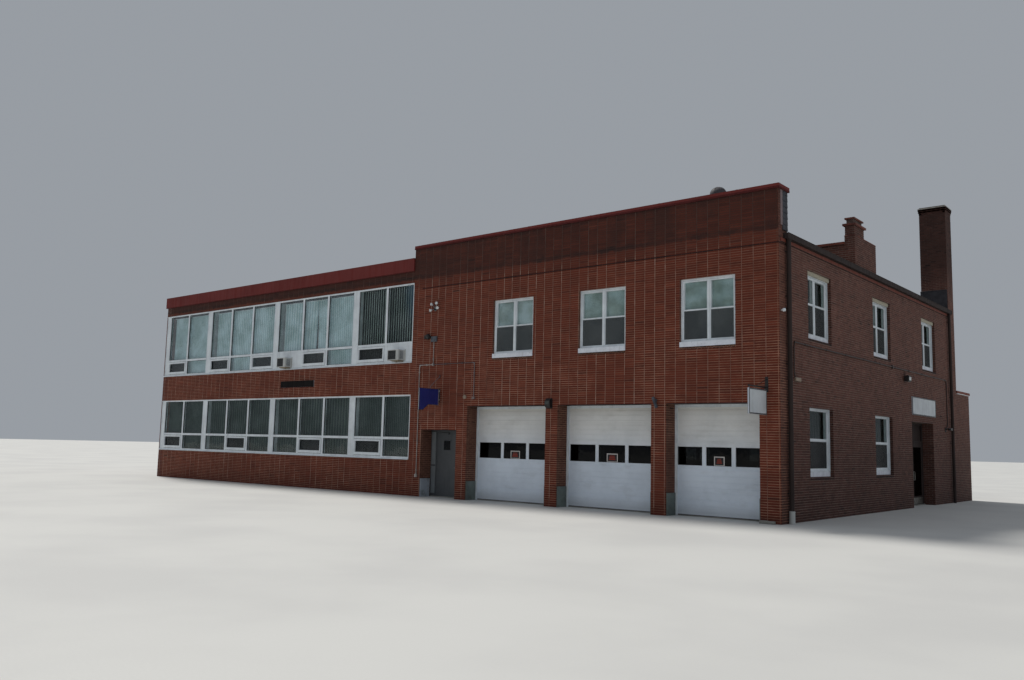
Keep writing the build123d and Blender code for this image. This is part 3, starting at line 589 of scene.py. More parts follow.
def _orient(pts, faces):
    p = np.array([[(s - 0.5) * (1.0 if i == a else 0.8) for i, s in enumerate(c)] for c, a in pts])
    out = []
    for f in faces:
        q = p[f]
        n = np.cross(q[1] - q[0], q[2] - q[0])
        out.append(tuple(f) if n @ q.mean(0) > 0 else tuple(reversed(f)))
    return out


_CP, _CF = _chamfer_topology()
_CF = _orient(_CP, _CF)


class Shape:
    """Collects vertices and faces in plan coordinates, with a material index and a tone for each."""

    def __init__(self):
        self.v, self.f, self.mi, self.t = [], [], [], []
        self.slot = 0
        self.tone = (0.5, 0.5, 0.5)

    def add(self, verts, faces):
        o = len(self.v)
        self.v.extend(tuple(p) for p in verts)
        self.t.extend([self.tone] * len(verts))
        for f in faces:
            self.f.append(tuple(i + o for i in f))
            self.mi.append(self.slot)

    def box(self, x0, x1, y0, y1, z0, z1, bev=0.004):
        """A block with chamfered edges and corners."""
        lo, hi = (x0, y0, z0), (x1, y1, z1)
        b = min(bev, *(0.3 * (hi[i] - lo[i]) for i in range(3)))
        verts = []
        for c, a in _CP:
            verts.append([(hi[i] if c[i] else lo[i]) + (0 if i == a else (-b if c[i] else b)) for i in range(3)])
        self.add(verts, _CF)

    def ring(self, a0, a1, z0, z1, profile, place):
        """A mitred frame. profile is closed, (inset, depth) pairs; place(u, d, z) gives the point."""
        n = len(profile)
        verts = []
        for i, d in profile:
            for u, z in ((a0 + i, z0 + i), (a1 - i, z0 + i), (a1 - i, z1 - i), (a0 + i, z1 - i)):
                verts.append(place(u, d, z))
        faces = []
        for k in range(n):
            j = (k + 1) % n
            for c in range(4):
                e = (c + 1) % 4
                faces.append((k * 4 + c, k * 4 + e, j * 4 + e, j * 4 + c))
        self.add(verts, faces)

    def prism(self, profile, place, a0, a1):
        """A closed profile of (p, q) pairs pushed from a0 to a1; place(p, q, a) gives the point."""
        n = len(profile)
        verts = [place(p, q, a0) for p, q in profile] + [place(p, q, a1) for p, q in profile]
        faces = [(k, (k + 1) % n, (k + 1) % n + n, k + n) for k in range(n)]
        faces += [tuple(range(n)), tuple(reversed(range(n, 2 * n)))]
        self.add(verts, faces)

    def tube(self, path, r, seg=12, cap=True):
        pts = [Vector(p) for p in path]
        rings = []
        ref = None
        for i, p in enumerate(pts):
            d0 = (p - pts[i - 1]).normalized() if i else (pts[1] - p).normalized()
            d1 = (pts[i + 1] - p).normalized() if i + 1 < len(pts) else d0
            t = (d0 + d1).normalized()
            if ref is None:
                ref = Vector((0, 0, 1)) if abs(t.z) < 0.9 else Vector((1, 0, 0))
            s = (ref - t * ref.dot(t)).normalized()
            ref = s
            w = t.cross(s)
            k = 1.0 / max(0.4, math.sqrt((1 + d0.dot(d1)) / 2))
            rr = r[i] if isinstance(r, (list, tuple)) else r
            rings.append([p + (s * math.cos(a) + w * math.sin(a)) * rr * k
                          for a in (2 * math.pi * j / seg for j in range(seg))])
        verts = [q for ring in rings for q in ring]
        faces = []
        for i in range(len(rings) - 1):
            for j in range(seg):
                e = (j + 1) % seg
                faces.append((i * seg + j, i * seg + e, (i + 1) * seg + e, (i + 1) * seg + j))
        if cap:
            faces.append(tuple(reversed(range(seg))))
            faces.append(tuple((len(rings) - 1) * seg + j for j in range(seg)))
        self.add(verts, faces)

    def lathe(self, centre, axis, profile, seg=24):
        """A turned solid: profile is (radius, distance along axis)."""
        t = Vector(axis).normalized()
        ref = Vector((0, 0, 1)) if abs(t.z) < 0.9 else Vector((1, 0, 0))
        s = (ref - t * ref.dot(t)).normalized()
        w = t.cross(s)
        c = Vector(centre)
        verts, faces = [], []
        for r, h in profile:
            for j in range(seg):
                a = 2 * math.pi * j / seg
                verts.append(c + t * h + (s * math.cos(a) + w * math.sin(a)) * max(r, 1e-4))
        for i in range(len(profile) - 1):
            for j in range(seg):
                e = (j + 1) % seg
                faces.append((i * seg + j, i * seg + e, (i + 1) * seg + e, (i + 1) * seg + j))
        faces.append(tuple(reversed(range(seg))))
        faces.append(tuple((len(profile) - 1) * seg + j for j in range(seg)))
        self.add(verts, faces)

    def grid(self, nu, nv, fn, tone=None):
        o = len(self.v)
        for j in range(nv + 1):
            for i in range(nu + 1):
                u, v = i / nu, j / nv
                self.v.append(tuple(fn(u, v)))
                self.t.append(tone(u, v) if tone else self.tone)
        for j in range(nv):
            for i in range(nu):
                a = o + j * (nu + 1) + i
                self.f.append((a, a + 1, a + nu + 2, a + nu + 1))
                self.mi.append(self.slot)

    def make(self, name, mats, body="building", slot=None, smooth=False, fix=True, replaces=()):
        me = bpy.data.meshes.new(name)
        v = np.array(self.v, dtype=np.float64).reshape(-1, 3) + np.array([OX, OY, 0.0])
        me.from_pydata(v.tolist(), [], self.f)
        mats = mats if isinstance(mats, (list, tuple)) else [mats]
        for m in mats:
            me.materials.append(m)
        me.polygons.foreach_set("material_index", np.array(self.mi, dtype=np.int32))
        if fix:
            bm = bmesh.new()
            bm.from_mesh(me)
            bmesh.ops.recalc_face_normals(bm, faces=bm.faces)
            bm.to_mesh(me)
            bm.free()
        att = me.attributes.new("tone", "FLOAT_COLOR", "POINT")
        t = np.ones((len(me.vertices), 4), dtype=np.float32)
        t[:, :3] = np.array(self.t, dtype=np.float32).reshape(-1, 3)
        att.data.foreach_set("color", t.ravel())
        if smooth:
            me.polygons.foreach_set("use_smooth", np.ones(len(me.polygons), dtype=bool))
            me.set_sharp_from_angle(angle=math.radians(38))
        me.update()
        ob = bpy.data.objects.new(name, me)
        scene.collection.objects.link(ob)
        if replaces:
            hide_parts(*replaces)
        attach(ob, body)
        return ob


def on_front(y0=0.0):
    return lambda u, d, z: (u, y0 + d, z)


def on_side(x0=0.0):
    return lambda u, d, z: (x0 - d, u, z)


def rect_minus(rects, hole):
    a, b, c, d = hole
    out = []
    for x0, x1, z0, z1 in rects:
        if x1 <= a or x0 >= b or z1 <= c or z0 >= d:
            out.append((x0, x1, z0, z1))
            continue
        if x0 < a:
            out.append((x0, a, z0, z1))
        if x1 > b:
            out.append((b, x1, z0, z1))
        m0, m1 = max(x0, a), min(x1, b)
        if z0 < c:
            out.append((m0, m1, z0, c))
        if z1 > d:
            out.append((m0, m1, d, z1))
    return out


class Bricks:
    """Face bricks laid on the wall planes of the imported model, which show between them as joints."""

    def __init__(self, seed):
        self.rng = random.Random(seed)
        self.v, self.f, self.t = [], [], []

    def wall(self, axis, plane, sign, a0, a1, z0, z1, holes=(), stack=False, phase=0.0,
             length=BOND, jv=0.010, jh=0.0125, proud=0.0045, spread=0.12, tone0=0.5):
        """axis: the horizontal axis the wall runs along. plane: its place. sign: +1 or -1, the way it faces."""
        rng = self.rng
        k0, k1 = int(math.floor(z0 / COURSE + 1e-6)), int(math.ceil(z1 / COURSE - 1e-6))
        holes = [h for h in holes if h[1] > a0 and h[0] < a1 and h[3] > z0 and h[2] < z1]
        flip = (axis == "x" and sign > 0) or (axis == "y" and sign < 0)
        patch = {}
        for k in range(k0, k1):
            b0 = max(z0, k * COURSE + jh / 2)
            b1 = min(z1, (k + 1) * COURSE - jh / 2)
            if b1 - b0 < 0.012:
                continue
            off = phase + (0.0 if stack else (k % 2) * length / 2)
            n0, n1 = int(math.floor((a0 - off) / length)), int(math.ceil((a1 - off) / length))
            for n in range(n0, n1):
                c0 = max(a0, off + n * length + jv / 2)
                c1 = min(a1, off + (n + 1) * length - jv / 2)
                if c1 - c0 < 0.015:
                    continue
                rects = [(c0, c1, b0, b1)]
                for h in holes:
                    rects = rect_minus(rects, h)
                    if not rects:
                        break
                if not rects:
                    continue
                key = (n // 3, k // 7)
                if key not in patch:
                    patch[key] = rng.gauss(0, 0.025)
                tone = min(1.0, max(0.0, tone0 + patch[key] + rng.gauss(0, spread)))
                hue, var = rng.random(), rng.random()
                d = proud + rng.uniform(-0.0012, 0.0012)
                for x0, x1, y0, y1 in rects:
                    if x1 - x0 < 0.014 or y1 - y0 < 0.010:
                        continue
                    c = min(0.0022, (x1 - x0) * 0.2, (y1 - y0) * 0.2)
                    tl = [rng.uniform(-0.0006, 0.0006) for _ in range(4)]
                    o = len(self.v)
                    for (u, z) in ((x0, y0), (x1, y0), (x1, y1), (x0, y1)):
                        self.v.append((u, plane, z) if axis == "x" else (plane, u, z))
                    for (u, z), e in zip(((x0 + c, y0 + c), (x1 - c, y0 + c), (x1 - c, y1 - c), (x0 + c, y1 - c)), tl):
                        w = plane + sign * (d + e)
                        self.v.append((u, w, z) if axis == "x" else (w, u, z))
                    self.t.extend([(tone, hue, var)] * 8)
                    quads = ((4, 5, 6, 7), (0, 1, 5, 4), (1, 2, 6, 5), (2, 3, 7, 6), (3, 0, 4, 7))
                    for q in quads:
                        q = tuple(o + i for i in (reversed(q) if flip else q))
                        self.f.append(q)

    def make(self, name, mat, slot):
        s = Shape()
        s.v, s.f, s.t, s.mi = self.v, self.f, self.t, [0] * len(self.f)
        return s.make(name, [mat], slot=slot, fix=False)


def pointing(shape, seed, a0, a1, z0, z1, holes, phase, length, width=0.0115):
    """Pale mortar left standing in the continuous upright joints of the front, in lengths of a few courses."""
    rng = random.Random(seed)
    n0, n1 = int(math.ceil((a0 - phase) / length)), int(math.floor((a1 - phase) / length))
    for n in range(n0, n1 + 1):
        x = phase + n * length
        base = rng.choice((0.32, 0.42, 0.52, 0.62, 0.74))
        z = z0 + rng.uniform(0, 0.2)
        while z < z1 - 0.03:
            ze = min(z1, z + COURSE * rng.randint(3, 10))
            rects = [(x - width / 2, x + width / 2, z, ze - 0.004)]
            for h in holes:
                rects = rect_minus(rects, h)
            t = min(1.0, max(0.0, rng.gauss(base, 0.12)))
            shape.tone = (t, rng.random(), rng.random())
            for p, q, c, d in rects:
                if q - p > 0.008 and d - c > 0.02:
                    shape.prism([(p, 0.0006), (p, -0.0034), (p + 0.002, -0.0046), (q - 0.002, -0.0046), (q, -0.0034), (q, 0.0006)],
                                lambda u, d2, zz: (u, d2, zz), c, d)
            z = ze


# ------------------------------------------------------------------ brickwork
P0 = -0.37
sill_holes = [(a, b, FW_SILL - SILL_H - 0.075, FW_SILL) for a, b in FW]
front_holes = ([(ENTRY[0], ENTRY[1], -1, Z_ENTRY)] + [(a, b, -1, Z_HEAD) for a, b in GAR]
               + [(a, b, FW_SILL - 0.01, FW_HEAD) for a, b in FW] + sill_holes)
FRONT = dict(stack=True, phase=P0, length=MOD, jv=0.015, jh=0.0140, spread=0.10)

w = Bricks(11)
w.wall("x", 0.0, -1, XL, 0.004, 0.0, Z_PAR, front_holes, **FRONT)
# the course under each front sill is laid in the darkest tones, painted shadow under the sill
for a, b in FW:
    w.wall("x", 0.0, -1, a + 0.005, b - 0.005, FW_SILL - SILL_H - 0.072, FW_SILL - SILL_H - 0.002, (), phase=a, length=0.112, jv=0.009, spread=0.06, tone0=0.03)
w.make("brickwork_front", M_BRICK_F, "brick_front")
s = Shape()
pointing(s, 3, XL + 0.05, -0.05, 0.0, Z_PAR - 0.01, front_holes, P0, MOD)
s.make("pointing_front", [M_POINT], slot="brick_front")

w = Bricks(12)
WING_ROWS = ((0.0, W_BASE), (W_R2, W_S1), (W_R1, W_TOP))
for z0, z1 in WING_ROWS:
    w.wall("x", 0.0, -1, WX0 - 0.004, XL, z0, z1, (), **FRONT)
w.wall("x", 0.0, -1, WX0 - 0.004, RIB_L, W_BASE, W_R2, (), **FRONT)
w.wall("x", 0.0, -1, WX0 - 0.004, RIB_L, W_S1, W_R1, (), **FRONT)
w.make("brickwork_wing_front", M_BRICK_F, "brick_front")
s = Shape()
for k, (z0, z1) in enumerate(WING_ROWS):
    pointing(s, 40 + k, WX0 + 0.05, XL - 0.05, z0 + 0.01, z1 - 0.01, (), P0, MOD)
s.make("pointing_wing", [M_POINT], slot="brick_front")

w = Bricks(13)
for x, s_ in ([(ENTRY[0], 1), (ENTRY[1], -1)] + [(a, 1) for a, _ in GAR] + [(b, -1) for _, b in GAR]):
    top = Z_ENTRY if x in ENTRY else Z_HEAD
    w.wall("y", x, s_, 0.0, T_F, 0.0, top,
           [(0.03, 0.48, -1, 0.62)] + ([] if x in ENTRY else [(0.495, 0.55, -1, 4)]), length=BOND, phase=-0.005)
for a, b in FW:
    w.wall("y", a, 1, 0.0, 0.10, FW_SILL, FW_HEAD, length=0.11, phase=0.0)
    w.wall("y", b, -1, 0.0, 0.10, FW_SILL, FW_HEAD, length=0.11, phase=0.0)
w.make("brickwork_front_reveals", M_BRICK_R, "brick_front")

SILLS = [(a, b, SU_SILL) for a, b in SW_UP] + [(a, b, SL_SILL) for a, b in SW_LO]
side_holes = ([(a, b, SU_SILL - SILL_H, SU_LINT) for a, b in SW_UP]
              + [(a, b, SL_SILL - SILL_H, SL_HEAD) for a, b in SW_LO] + [(SDOOR[0], SDOOR[1], -1, SDOOR_H)]
              + [(a, b, z - SILL_H - 0.075, z - SILL_H) for a, b, z in SILLS]
              + [(0.25, 99, Z_WALL + 0.03, 99)])
w = Bricks(14)
w.wall("y", 0.0, 1, 0.0, 8.2, 0.0, Z_WALL, side_holes, phase=0.02)
w.wall("y", 0.0, 1, 0.0, 0.25, Z_WALL, Z_PAR, (), phase=0.02)
# the course under each side sill is laid in the darkest tones, painted shadow under the sill
for a, b, z in SILLS:
    w.wall("y", 0.0, 1, a + 0.005, b - 0.005, z - SILL_H - 0.072, z - SILL_H - 0.002, (), phase=a, length=0.112, jv=0.009, spread=0.06, tone0=0.03)
w.make("brickwork_side_front_half", M_BRICK_S, "brick_side")
w = Bricks(15)
w.wall("y", 0.0, 1, 8.2, CH_Y0, 0.0, Z_WALL, side_holes, phase=0.02)
w.make("brickwork_side_rear_half", M_BRICK_S, "brick_side")

w = Bricks(16)
for y, s in ((SDOOR[0], 1), (SDOOR[1], -1)):
    w.wall("x", y, s, -0.40, 0.0, 0.0, SDOOR_H, phase=0.01)
# the reveals of the side windows are laid darker (tone 0.35), painted shade in the reveals
for a, b, z0, z1 in ([(a, b, SU_SILL - SILL_H, SU_LINT) for a, b in SW_UP] + [(a, b, SL_SILL - SILL_H, SL_HEAD) for a, b in SW_LO]):
    lint = [(-1, -0.055, SU_HEAD - 0.004, SU_LINT + 0.1)] if z0 > 4 else []
    w.wall("x", a, 1, -REV, 0.0, z0, z1, lint, phase=0.0, length=REV, jv=0.004, tone0=0.35)
    w.wall("x", b, -1, -REV, 0.0, z0, z1, lint, phase=0.0, length=REV, jv=0.004, tone0=0.35)
w.make("brickwork_side_reveals", M_BRICK_S, "brick_side")
# ledges under the side sills, in darker tones as painted shade beneath the sills
s = Shape()
rng = random.Random(8)
for a, b, z in SILLS:
    n = 24
    for k in range(n):
        y0 = a + 0.004 + (b - a - 0.008) * k / n
        s.tone = (rng.uniform(0.2, 0.5), 0.5, 0.5)
        s.prism([(-REV + 0.001, -0.004), (-REV + 0.001, 0.016), (0.002, 0.004), (0.005, -0.004)],
                lambda p, q, y, z=z: (p, y, z - SILL_H + q), y0, y0 + (b - a - 0.008) / n - 0.008)
s.make("brick_ledges_under_side_sills", [M_BRICK_S], slot="brick_side")

w = Bricks(17)
w.wall("y", 0.0, 1, CH_Y0, CH_Y1, 0.0, CH_TOP - 0.30, phase=0.02)
w.wall("x", CH_Y0, -1, CH_X0, 0.004, 7.66, CH_TOP - 0.30, phase=0.03)
w.wall("x", CH_Y1, 1, CH_X0, 0.004, 4.25, CH_TOP - 0.30, [(-0.39, 1, 0, A_COP)], phase=0.05)
w.wall("y", CH_X0, -1, CH_Y0, YB, 7.60, CH_TOP - 0.30, phase=0.02)
w.wall("y", CH_X0, -1, YB, CH_Y1, 4.25, CH_TOP - 0.30, phase=0.02)
w.make("brickwork_corner_chimney", M_BRICK_S, "brick_side")

w = Bricks(18)
rear_holes = ([(a, b, SU_SILL - SILL_H, SU_HEAD) for a, b in REAR_UP] + [(a, b, SL_SILL - SILL_H, SL_HEAD) for a, b in REAR_LO]
              + [(AX0 - 0.045, 1, -1, A_COP)])
w.wall("x", YB, 1, XL, CH_X0, 0.0, Z_WALL, rear_holes, phase=0.04)
w.make("brickwork_rear", M_BRICK_S, "brick_side")

w = Bricks(19)
w.wall("y", XL, -1, WY + 0.06, YB + 0.004, 0.0, Z_WALL, phase=0.04)
w.wall("y", XL, -1, 0.0, 0.25, W_FAS, Z_PAR, phase=0.04)
w.make("brickwork_left_rear", M_BRICK_S, "brick_side")

w = Bricks(20)
w.wall("y", WX0, -1, 0.0, WY, 0.0, W_TOP, phase=0.03)
w.make("brickwork_wing_end", M_BRICK_S, "brick_side")

w = Bricks(21)
for z0, z1 in ((0.0, W_BASE), (W_R2, W_S1), (W_R1, W_TOP)):
    w.wall("x", WY, 1, WX0 - 0.004, XL, z0, z1, phase=0.02)
w.make("brickwork_wing_rear", M_BRICK_S, "brick_side")

w = Bricks(22)
w.wall("y", 0.0, 1, CH_Y1, AY1, 0.0, A_TOP, phase=0.02)
w.wall("x", AY1, 1, AX0 - 0.004, 0.004, 0.0, A_TOP, phase=0.02)
w.wall("y", AX0, -1, YB, AY1, 0.0, A_TOP, phase=0.02)
w.make("brickwork_annex", M_BRICK_S, "brick_side")

w = Bricks(23)
w.wall("x", FY0, -1, XL + 0.35, -0.32, 7.60, F_TOP, phase=0.02)
w.wall("x", FY1, 1, XL + 0.35, -0.32, 7.60, F_TOP, phase=0.06)
w.wall("x", FY0, -1, RC_X0, 0.004, Z_WALL, RC_LEDGE, phase=0.02)
w.wall("y", 0.0, 1, FY0, RC_Y1, Z_WALL, RC_LEDGE, phase=0.02)
w.wall("x", RC_Y1, 1, RC_X0, 0.004, Z_WALL, RC_LEDGE, phase=0.02)
w.wall("y", RC_X0, -1, FY1, RC_Y1, Z_WALL, RC_LEDGE, phase=0.02)
w.wall("x", FY0 + 0.015, -1, RC_X0 + 0.015, -0.015, RC_LEDGE, 8.96, phase=0.05)
w.wall("y", -0.015, 1, FY0 + 0.015, FY0 + 0.88, RC_LEDGE, 8.96, phase=0.05)
w.wall("x", FY0 + 0.88, 1, RC_X0 + 0.015, -0.015, RC_LEDGE, 8.96, phase=0.05)
w.wall("y", RC_X0 + 0.015, -1, FY0 + 0.015, FY0 + 0.88, RC_LEDGE, 8.96, phase=0.05)
w.make("brickwork_roof_walls", M_BRICK_S, "brick_side")

s = Shape()
for i, (z0, z1, o) in enumerate(((11.70, 11.765, 0.012), (11.775, 11.84, 0.030), (11.85, 11.915, 0.042))):
    n = 6
    for k in range(n):
        x0 = CH_X0 - o + (1.0 + 2 * o) * k / n
        x1 = x0 + (1.0 + 2 * o) / n - 0.009
        s.tone = (random.Random(k + 10 * i).uniform(0.3, 0.7), 0.5, 0.5)
        s.box(x0, x1, CH_Y0 - o, CH_Y0 + 0.1, z0, z1, 0.003)
        s.box(x0, x1, CH_Y1 - 0.1, CH_Y1 + o, z0, z1, 0.003)
    for k in range(4):
        y0 = CH_Y0 - o + (0.8 + 2 * o) * k / 4
        y1 = y0 + (0.8 + 2 * o) / 4 - 0.009
        s.tone = (random.Random(k + 50 * i).uniform(0.3, 0.7), 0.5, 0.5)
        s.box(-0.1, o, y0, y1, z0, z1, 0.003)
        s.box(CH_X0 - o, CH_X0 + 0.1, y0, y1, z0, z1, 0.003)
s.tone = (0.5, 0.5, 0.5)
s.ring(CH_X0 - 0.006, 0.006, CH_Y0 - 0.006, CH_Y1 + 0.006,
       [(-0.004, 11.700), (-0.004, 11.765), (-0.024, 11.775), (-0.024, 11.840), (-0.036, 11.850), (-0.036, 11.928), (0.10, 11.928), (0.10, 11.700)], lambda u, d, z: (u, z, d))
s.slot = 1
s.ring(CH_X0 - 0.045, 0.045, CH_Y0 - 0.045, CH_Y1 + 0.045,
       [(0.0, 11.925), (0.0, 11.955), (0.10, 11.998), (0.42, 11.998), (0.42, 11.925)], lambda u, d, z: (u, z, d))
s.make("corner_chimney_cap", [M_BRICK_S, M_CONC], slot="brick_side")

# projecting course under the parapet, laid in the darkest tones as a painted shadow line
s = Shape()
rng = random.Random(5)
x = XL + 0.43
while x < 0.0:
    x1 = min(0.018, x + MOD - 0.012 + rng.uniform(-0.002, 0.002))
    s.tone = (rng.uniform(0.0, 0.07), 0.5, 0.5)
    s.box(x, x1, -0.014, 0.001, 7.288, 7.326, 0.003)
    x += MOD
y = 0.004
while y < 0.60:
    y1 = min(0.62, y + BOND - 0.010)
    s.tone = (rng.uniform(0.0, 0.07), 0.5, 0.5)
    s.box(-0.001, 0.012, y, y1, 7.288, 7.326, 0.003)
    y += BOND
s.make("parapet_string_course", [M_BRICK_F], slot="brick_front")

# ------------------------------------------------------------------ frames, sashes, screens and blinds
s = Shape()
scr, bl = Shape(), Shape()
for a, b in FW:
    m = (a + b) / 2
    zm = (FW_SILL + FW_HEAD) / 2 + RZ
    P = on_front(0.10)
    s.ring(a, b, FW_SILL, FW_HEAD, [(0, 0.0), (0, -0.016), (0.006, -0.022), (0.040, -0.022), (0.048, -0.012), (0.048, 0.0)], P)
    s.box(m - 0.006, m + 0.046, 0.076, 0.101, FW_SILL + 0.045, FW_HEAD - 0.045, 0.004)
    for p, q in ((a + JL, m - ML), (m + MR, b - JR)):
        s.ring(p - 0.038, q + 0.038, zm - 0.012, FW_HEAD - TZ + 0.038, [(0, 0.0), (0, -0.012), (0.004, -0.015), (0.030, -0.015), (0.038, -0.004), (0.038, 0.0)], P)
        s.ring(p - 0.034, q + 0.034, FW_SILL + BZ - 0.027, zm + 0.012, [(0, 0.0), (0, -0.006), (0.003, -0.009), (0.024, -0.009), (0.027, -0.006), (0.027, 0.0)], P)
        scr.grid(12, 12, lambda u, v, p=p, q=q: (p - 0.008 + (q - p + 0.016) * u, 0.0965 + 0.003 * math.sin(math.pi * u) * math.sin(math.pi * v),
                                                 FW_SILL + BZ - 0.006 + (zm - 0.013 - FW_SILL - BZ) * v))
        bl.grid(10, 10, lambda u, v, p=p, q=q: (p - 0.0 + (q - p) * u, 0.178 + 0.004 * math.sin(math.pi * v) + 0.002 * math.sin(2.4 * math.pi * u),
                                                zm + 0.034 + (FW_HEAD - TZ - zm - 0.034) * v))
        bl.box(p + 0.004, q - 0.004, 0.170, 0.186, zm + 0.026, zm + 0.046, 0.003)
        bl.tube([(p + 0.002, 0.181, FW_HEAD - TZ - 0.012), (q - 0.002, 0.181, FW_HEAD - TZ - 0.012)], 0.012, 12)
s.make("front_sashes", [M_WHITE], slot="white_frame")
scr.make("front_window_screens", [M_SCREEN], slot="dark_metal", fix=False)
bl.make("front_window_blinds", [M_BLIND], slot="white_frame", fix=False)

s = Shape()
scr = Shape()
bl = Shape()
for lst, z0, z1, twin in ((SW_UP, SU_SILL, SU_HEAD, True), (SW_LO, SL_SILL, SL_HEAD, False)):
    low, rail, up = (0.040, 0.020, 0.060) if twin else (0.085, 0.032, 0.010)
    for a, b in lst:
        m = (a + b) / 2
        zm = (z0 + z1) / 2 + up
        # bead along the outer edge of the lining
        s.ring(a + 0.0005, b - 0.0005, z0 + 0.001, z1 - 0.0005, [(0, 0.003), (0, -0.002), (0.003, -0.005), (0.016, -0.005), (0.019, -0.002), (0.019, 0.003)], on_side(-REV))
        P = on_side(SIDE_F)
        s.ring(a + 0.020, b - 0.020, z0, z1 - 0.020, [(0, 0.0), (0, -0.006), (0.003, -0.009), (0.026, -0.009), (0.030, -0.004), (0.030, 0.0)], P)
        parts = ((a + 0.060, m - 0.060), (m + 0.060, b - 0.060)) if twin else ((a + 0.060, b - 0.060),)
        if twin:
            s.box(SIDE_F - 0.001, SIDE_F + 0.010, m - 0.034, m + 0.034, z0 + 0.03, z1 - 0.05, 0.003)
        for p, q in parts:
            # upper sash, and the lower one behind its screen
            s.ring(p + 0.001, q - 0.001, zm - rail + 0.001, z1 - 0.061, [(0, 0.001), (0.002, -0.001), (0.012, -0.001), (0.016, 0.004), (0.016, 0.019), (0, 0.019)], P)
            s.box(SIDE_F - 0.019, SIDE_F + 0.003, p - 0.002, q + 0.002, zm - rail - 0.002, zm + rail - 0.004, 0.004)
            s.ring(p + 0.001, q - 0.001, z0 + low + 0.001, zm - rail - 0.003, [(0, 0.004), (0.002, 0.002), (0.010, 0.002), (0.014, 0.007), (0.014, 0.019), (0, 0.019)], P)
            scr.grid(10, 10, lambda u, v, p=p, q=q, z0=z0, zm=zm, low=low, rail=rail: (
                SIDE_F - 0.012 - 0.002 * math.sin(math.pi * u) * math.sin(math.pi * v),
                p + 0.012 + (q - p - 0.024) * u, z0 + low + 0.012 + (zm - rail - 0.014 - z0 - low - 0.012) * v))
            # a dark folded sheet behind each side window, painted shade standing in for the unlit room; its tone
            # lightens the fronts of the folds
            bl.grid(60, 8, lambda u, v, p=p, q=q, z0=z0, z1=z1: (-0.300 + 0.006 * math.sin(2 * math.pi * 9 * u + 3 * v), p - 0.08 + (q - p + 0.16) * u,
                                                                   z0 - 0.02 + (z1 - z0) * v), tone=lambda u, v: (0.5 + 0.5 * math.sin(2 * math.pi * 9 * u + 3 * v), 0.5, 0.5))
s.make("side_sashes", [M_WHITE], slot="white_frame")
scr.make("side_window_screens", [M_SCREEN_D], slot="dark_metal", fix=False)
bl.make("side_window_shade_sheets", [M_SHADE_SHEET], slot="white_frame", fix=False, smooth=True)
s = Shape()
# faces of the lintels over the upper side windows, in a dim cream darker than the white frames
for a, b in SW_UP:
    s.box(-0.0605, -0.048, a + 0.003, b - 0.003, SU_HEAD + 0.002, SU_LINT - 0.003, 0.004)
    s.box(-0.100, -0.060, a + 0.004, b - 0.004, SU_HEAD - 0.004, SU_HEAD + 0.001, 0.001)
s.make("side_lintel_faces", [M_LINTEL], slot="white_frame")

s = Shape()
for lst, z0, z1 in ((REAR_UP, SU_SILL, SU_HEAD), (REAR_LO, SL_SILL, SL_HEAD)):
    for a, b in lst:
        m = (a + b) / 2
        zm = (z0 + z1) / 2 + RZ
        P = lambda u, d, z: (u, YB - 0.02 - d, z)
        s.ring(a, b, z0, z1, [(0, 0.0), (0, -0.008), (0.004, -0.011), (0.036, -0.011), (0.042, 0.0)], P)
        s.box(m - 0.006, m + 0.046, YB - 0.021, YB - 0.008, z0 + 0.04, z1 - 0.04, 0.003)
        for p, q in ((a + JL, m - ML), (m + MR, b - JR)):
            s.ring(p - 0.03, q + 0.03, zm - 0.010, z1 - TZ + 0.03, [(0, 0.0), (0, -0.006), (0.024, -0.006), (0.030, 0.0)], P)
            s.ring(p - 0.03, q + 0.03, z0 + BZ - 0.03, zm + 0.010, [(0, 0.03), (0, 0.018), (0.024, 0.018), (0.030, 0.03)], P)
s.make("rear_sashes", [M_WHITE], slot="white_frame")


def bays():
    edges = [(RIB_R - 0.055, RIB_R), POST_L] + [(t - 0.0525, t + 0.0525) for t in THIN] + WIDE
    edges.sort()
    return [(edges[i][1], edges[i + 1][0]) for i in range(len(edges) - 1)]


BAYS = bays()
rows = ((RT1[1], W_R1 - 0.055), (W_S1 + 0.095, RT1[0]), (RT2[1], W_R2 - 0.055), (W_BASE + 0.095, RT2[0]))


def bay_of(x):
    return next((a, b) for a, b in BAYS if a < x < b)


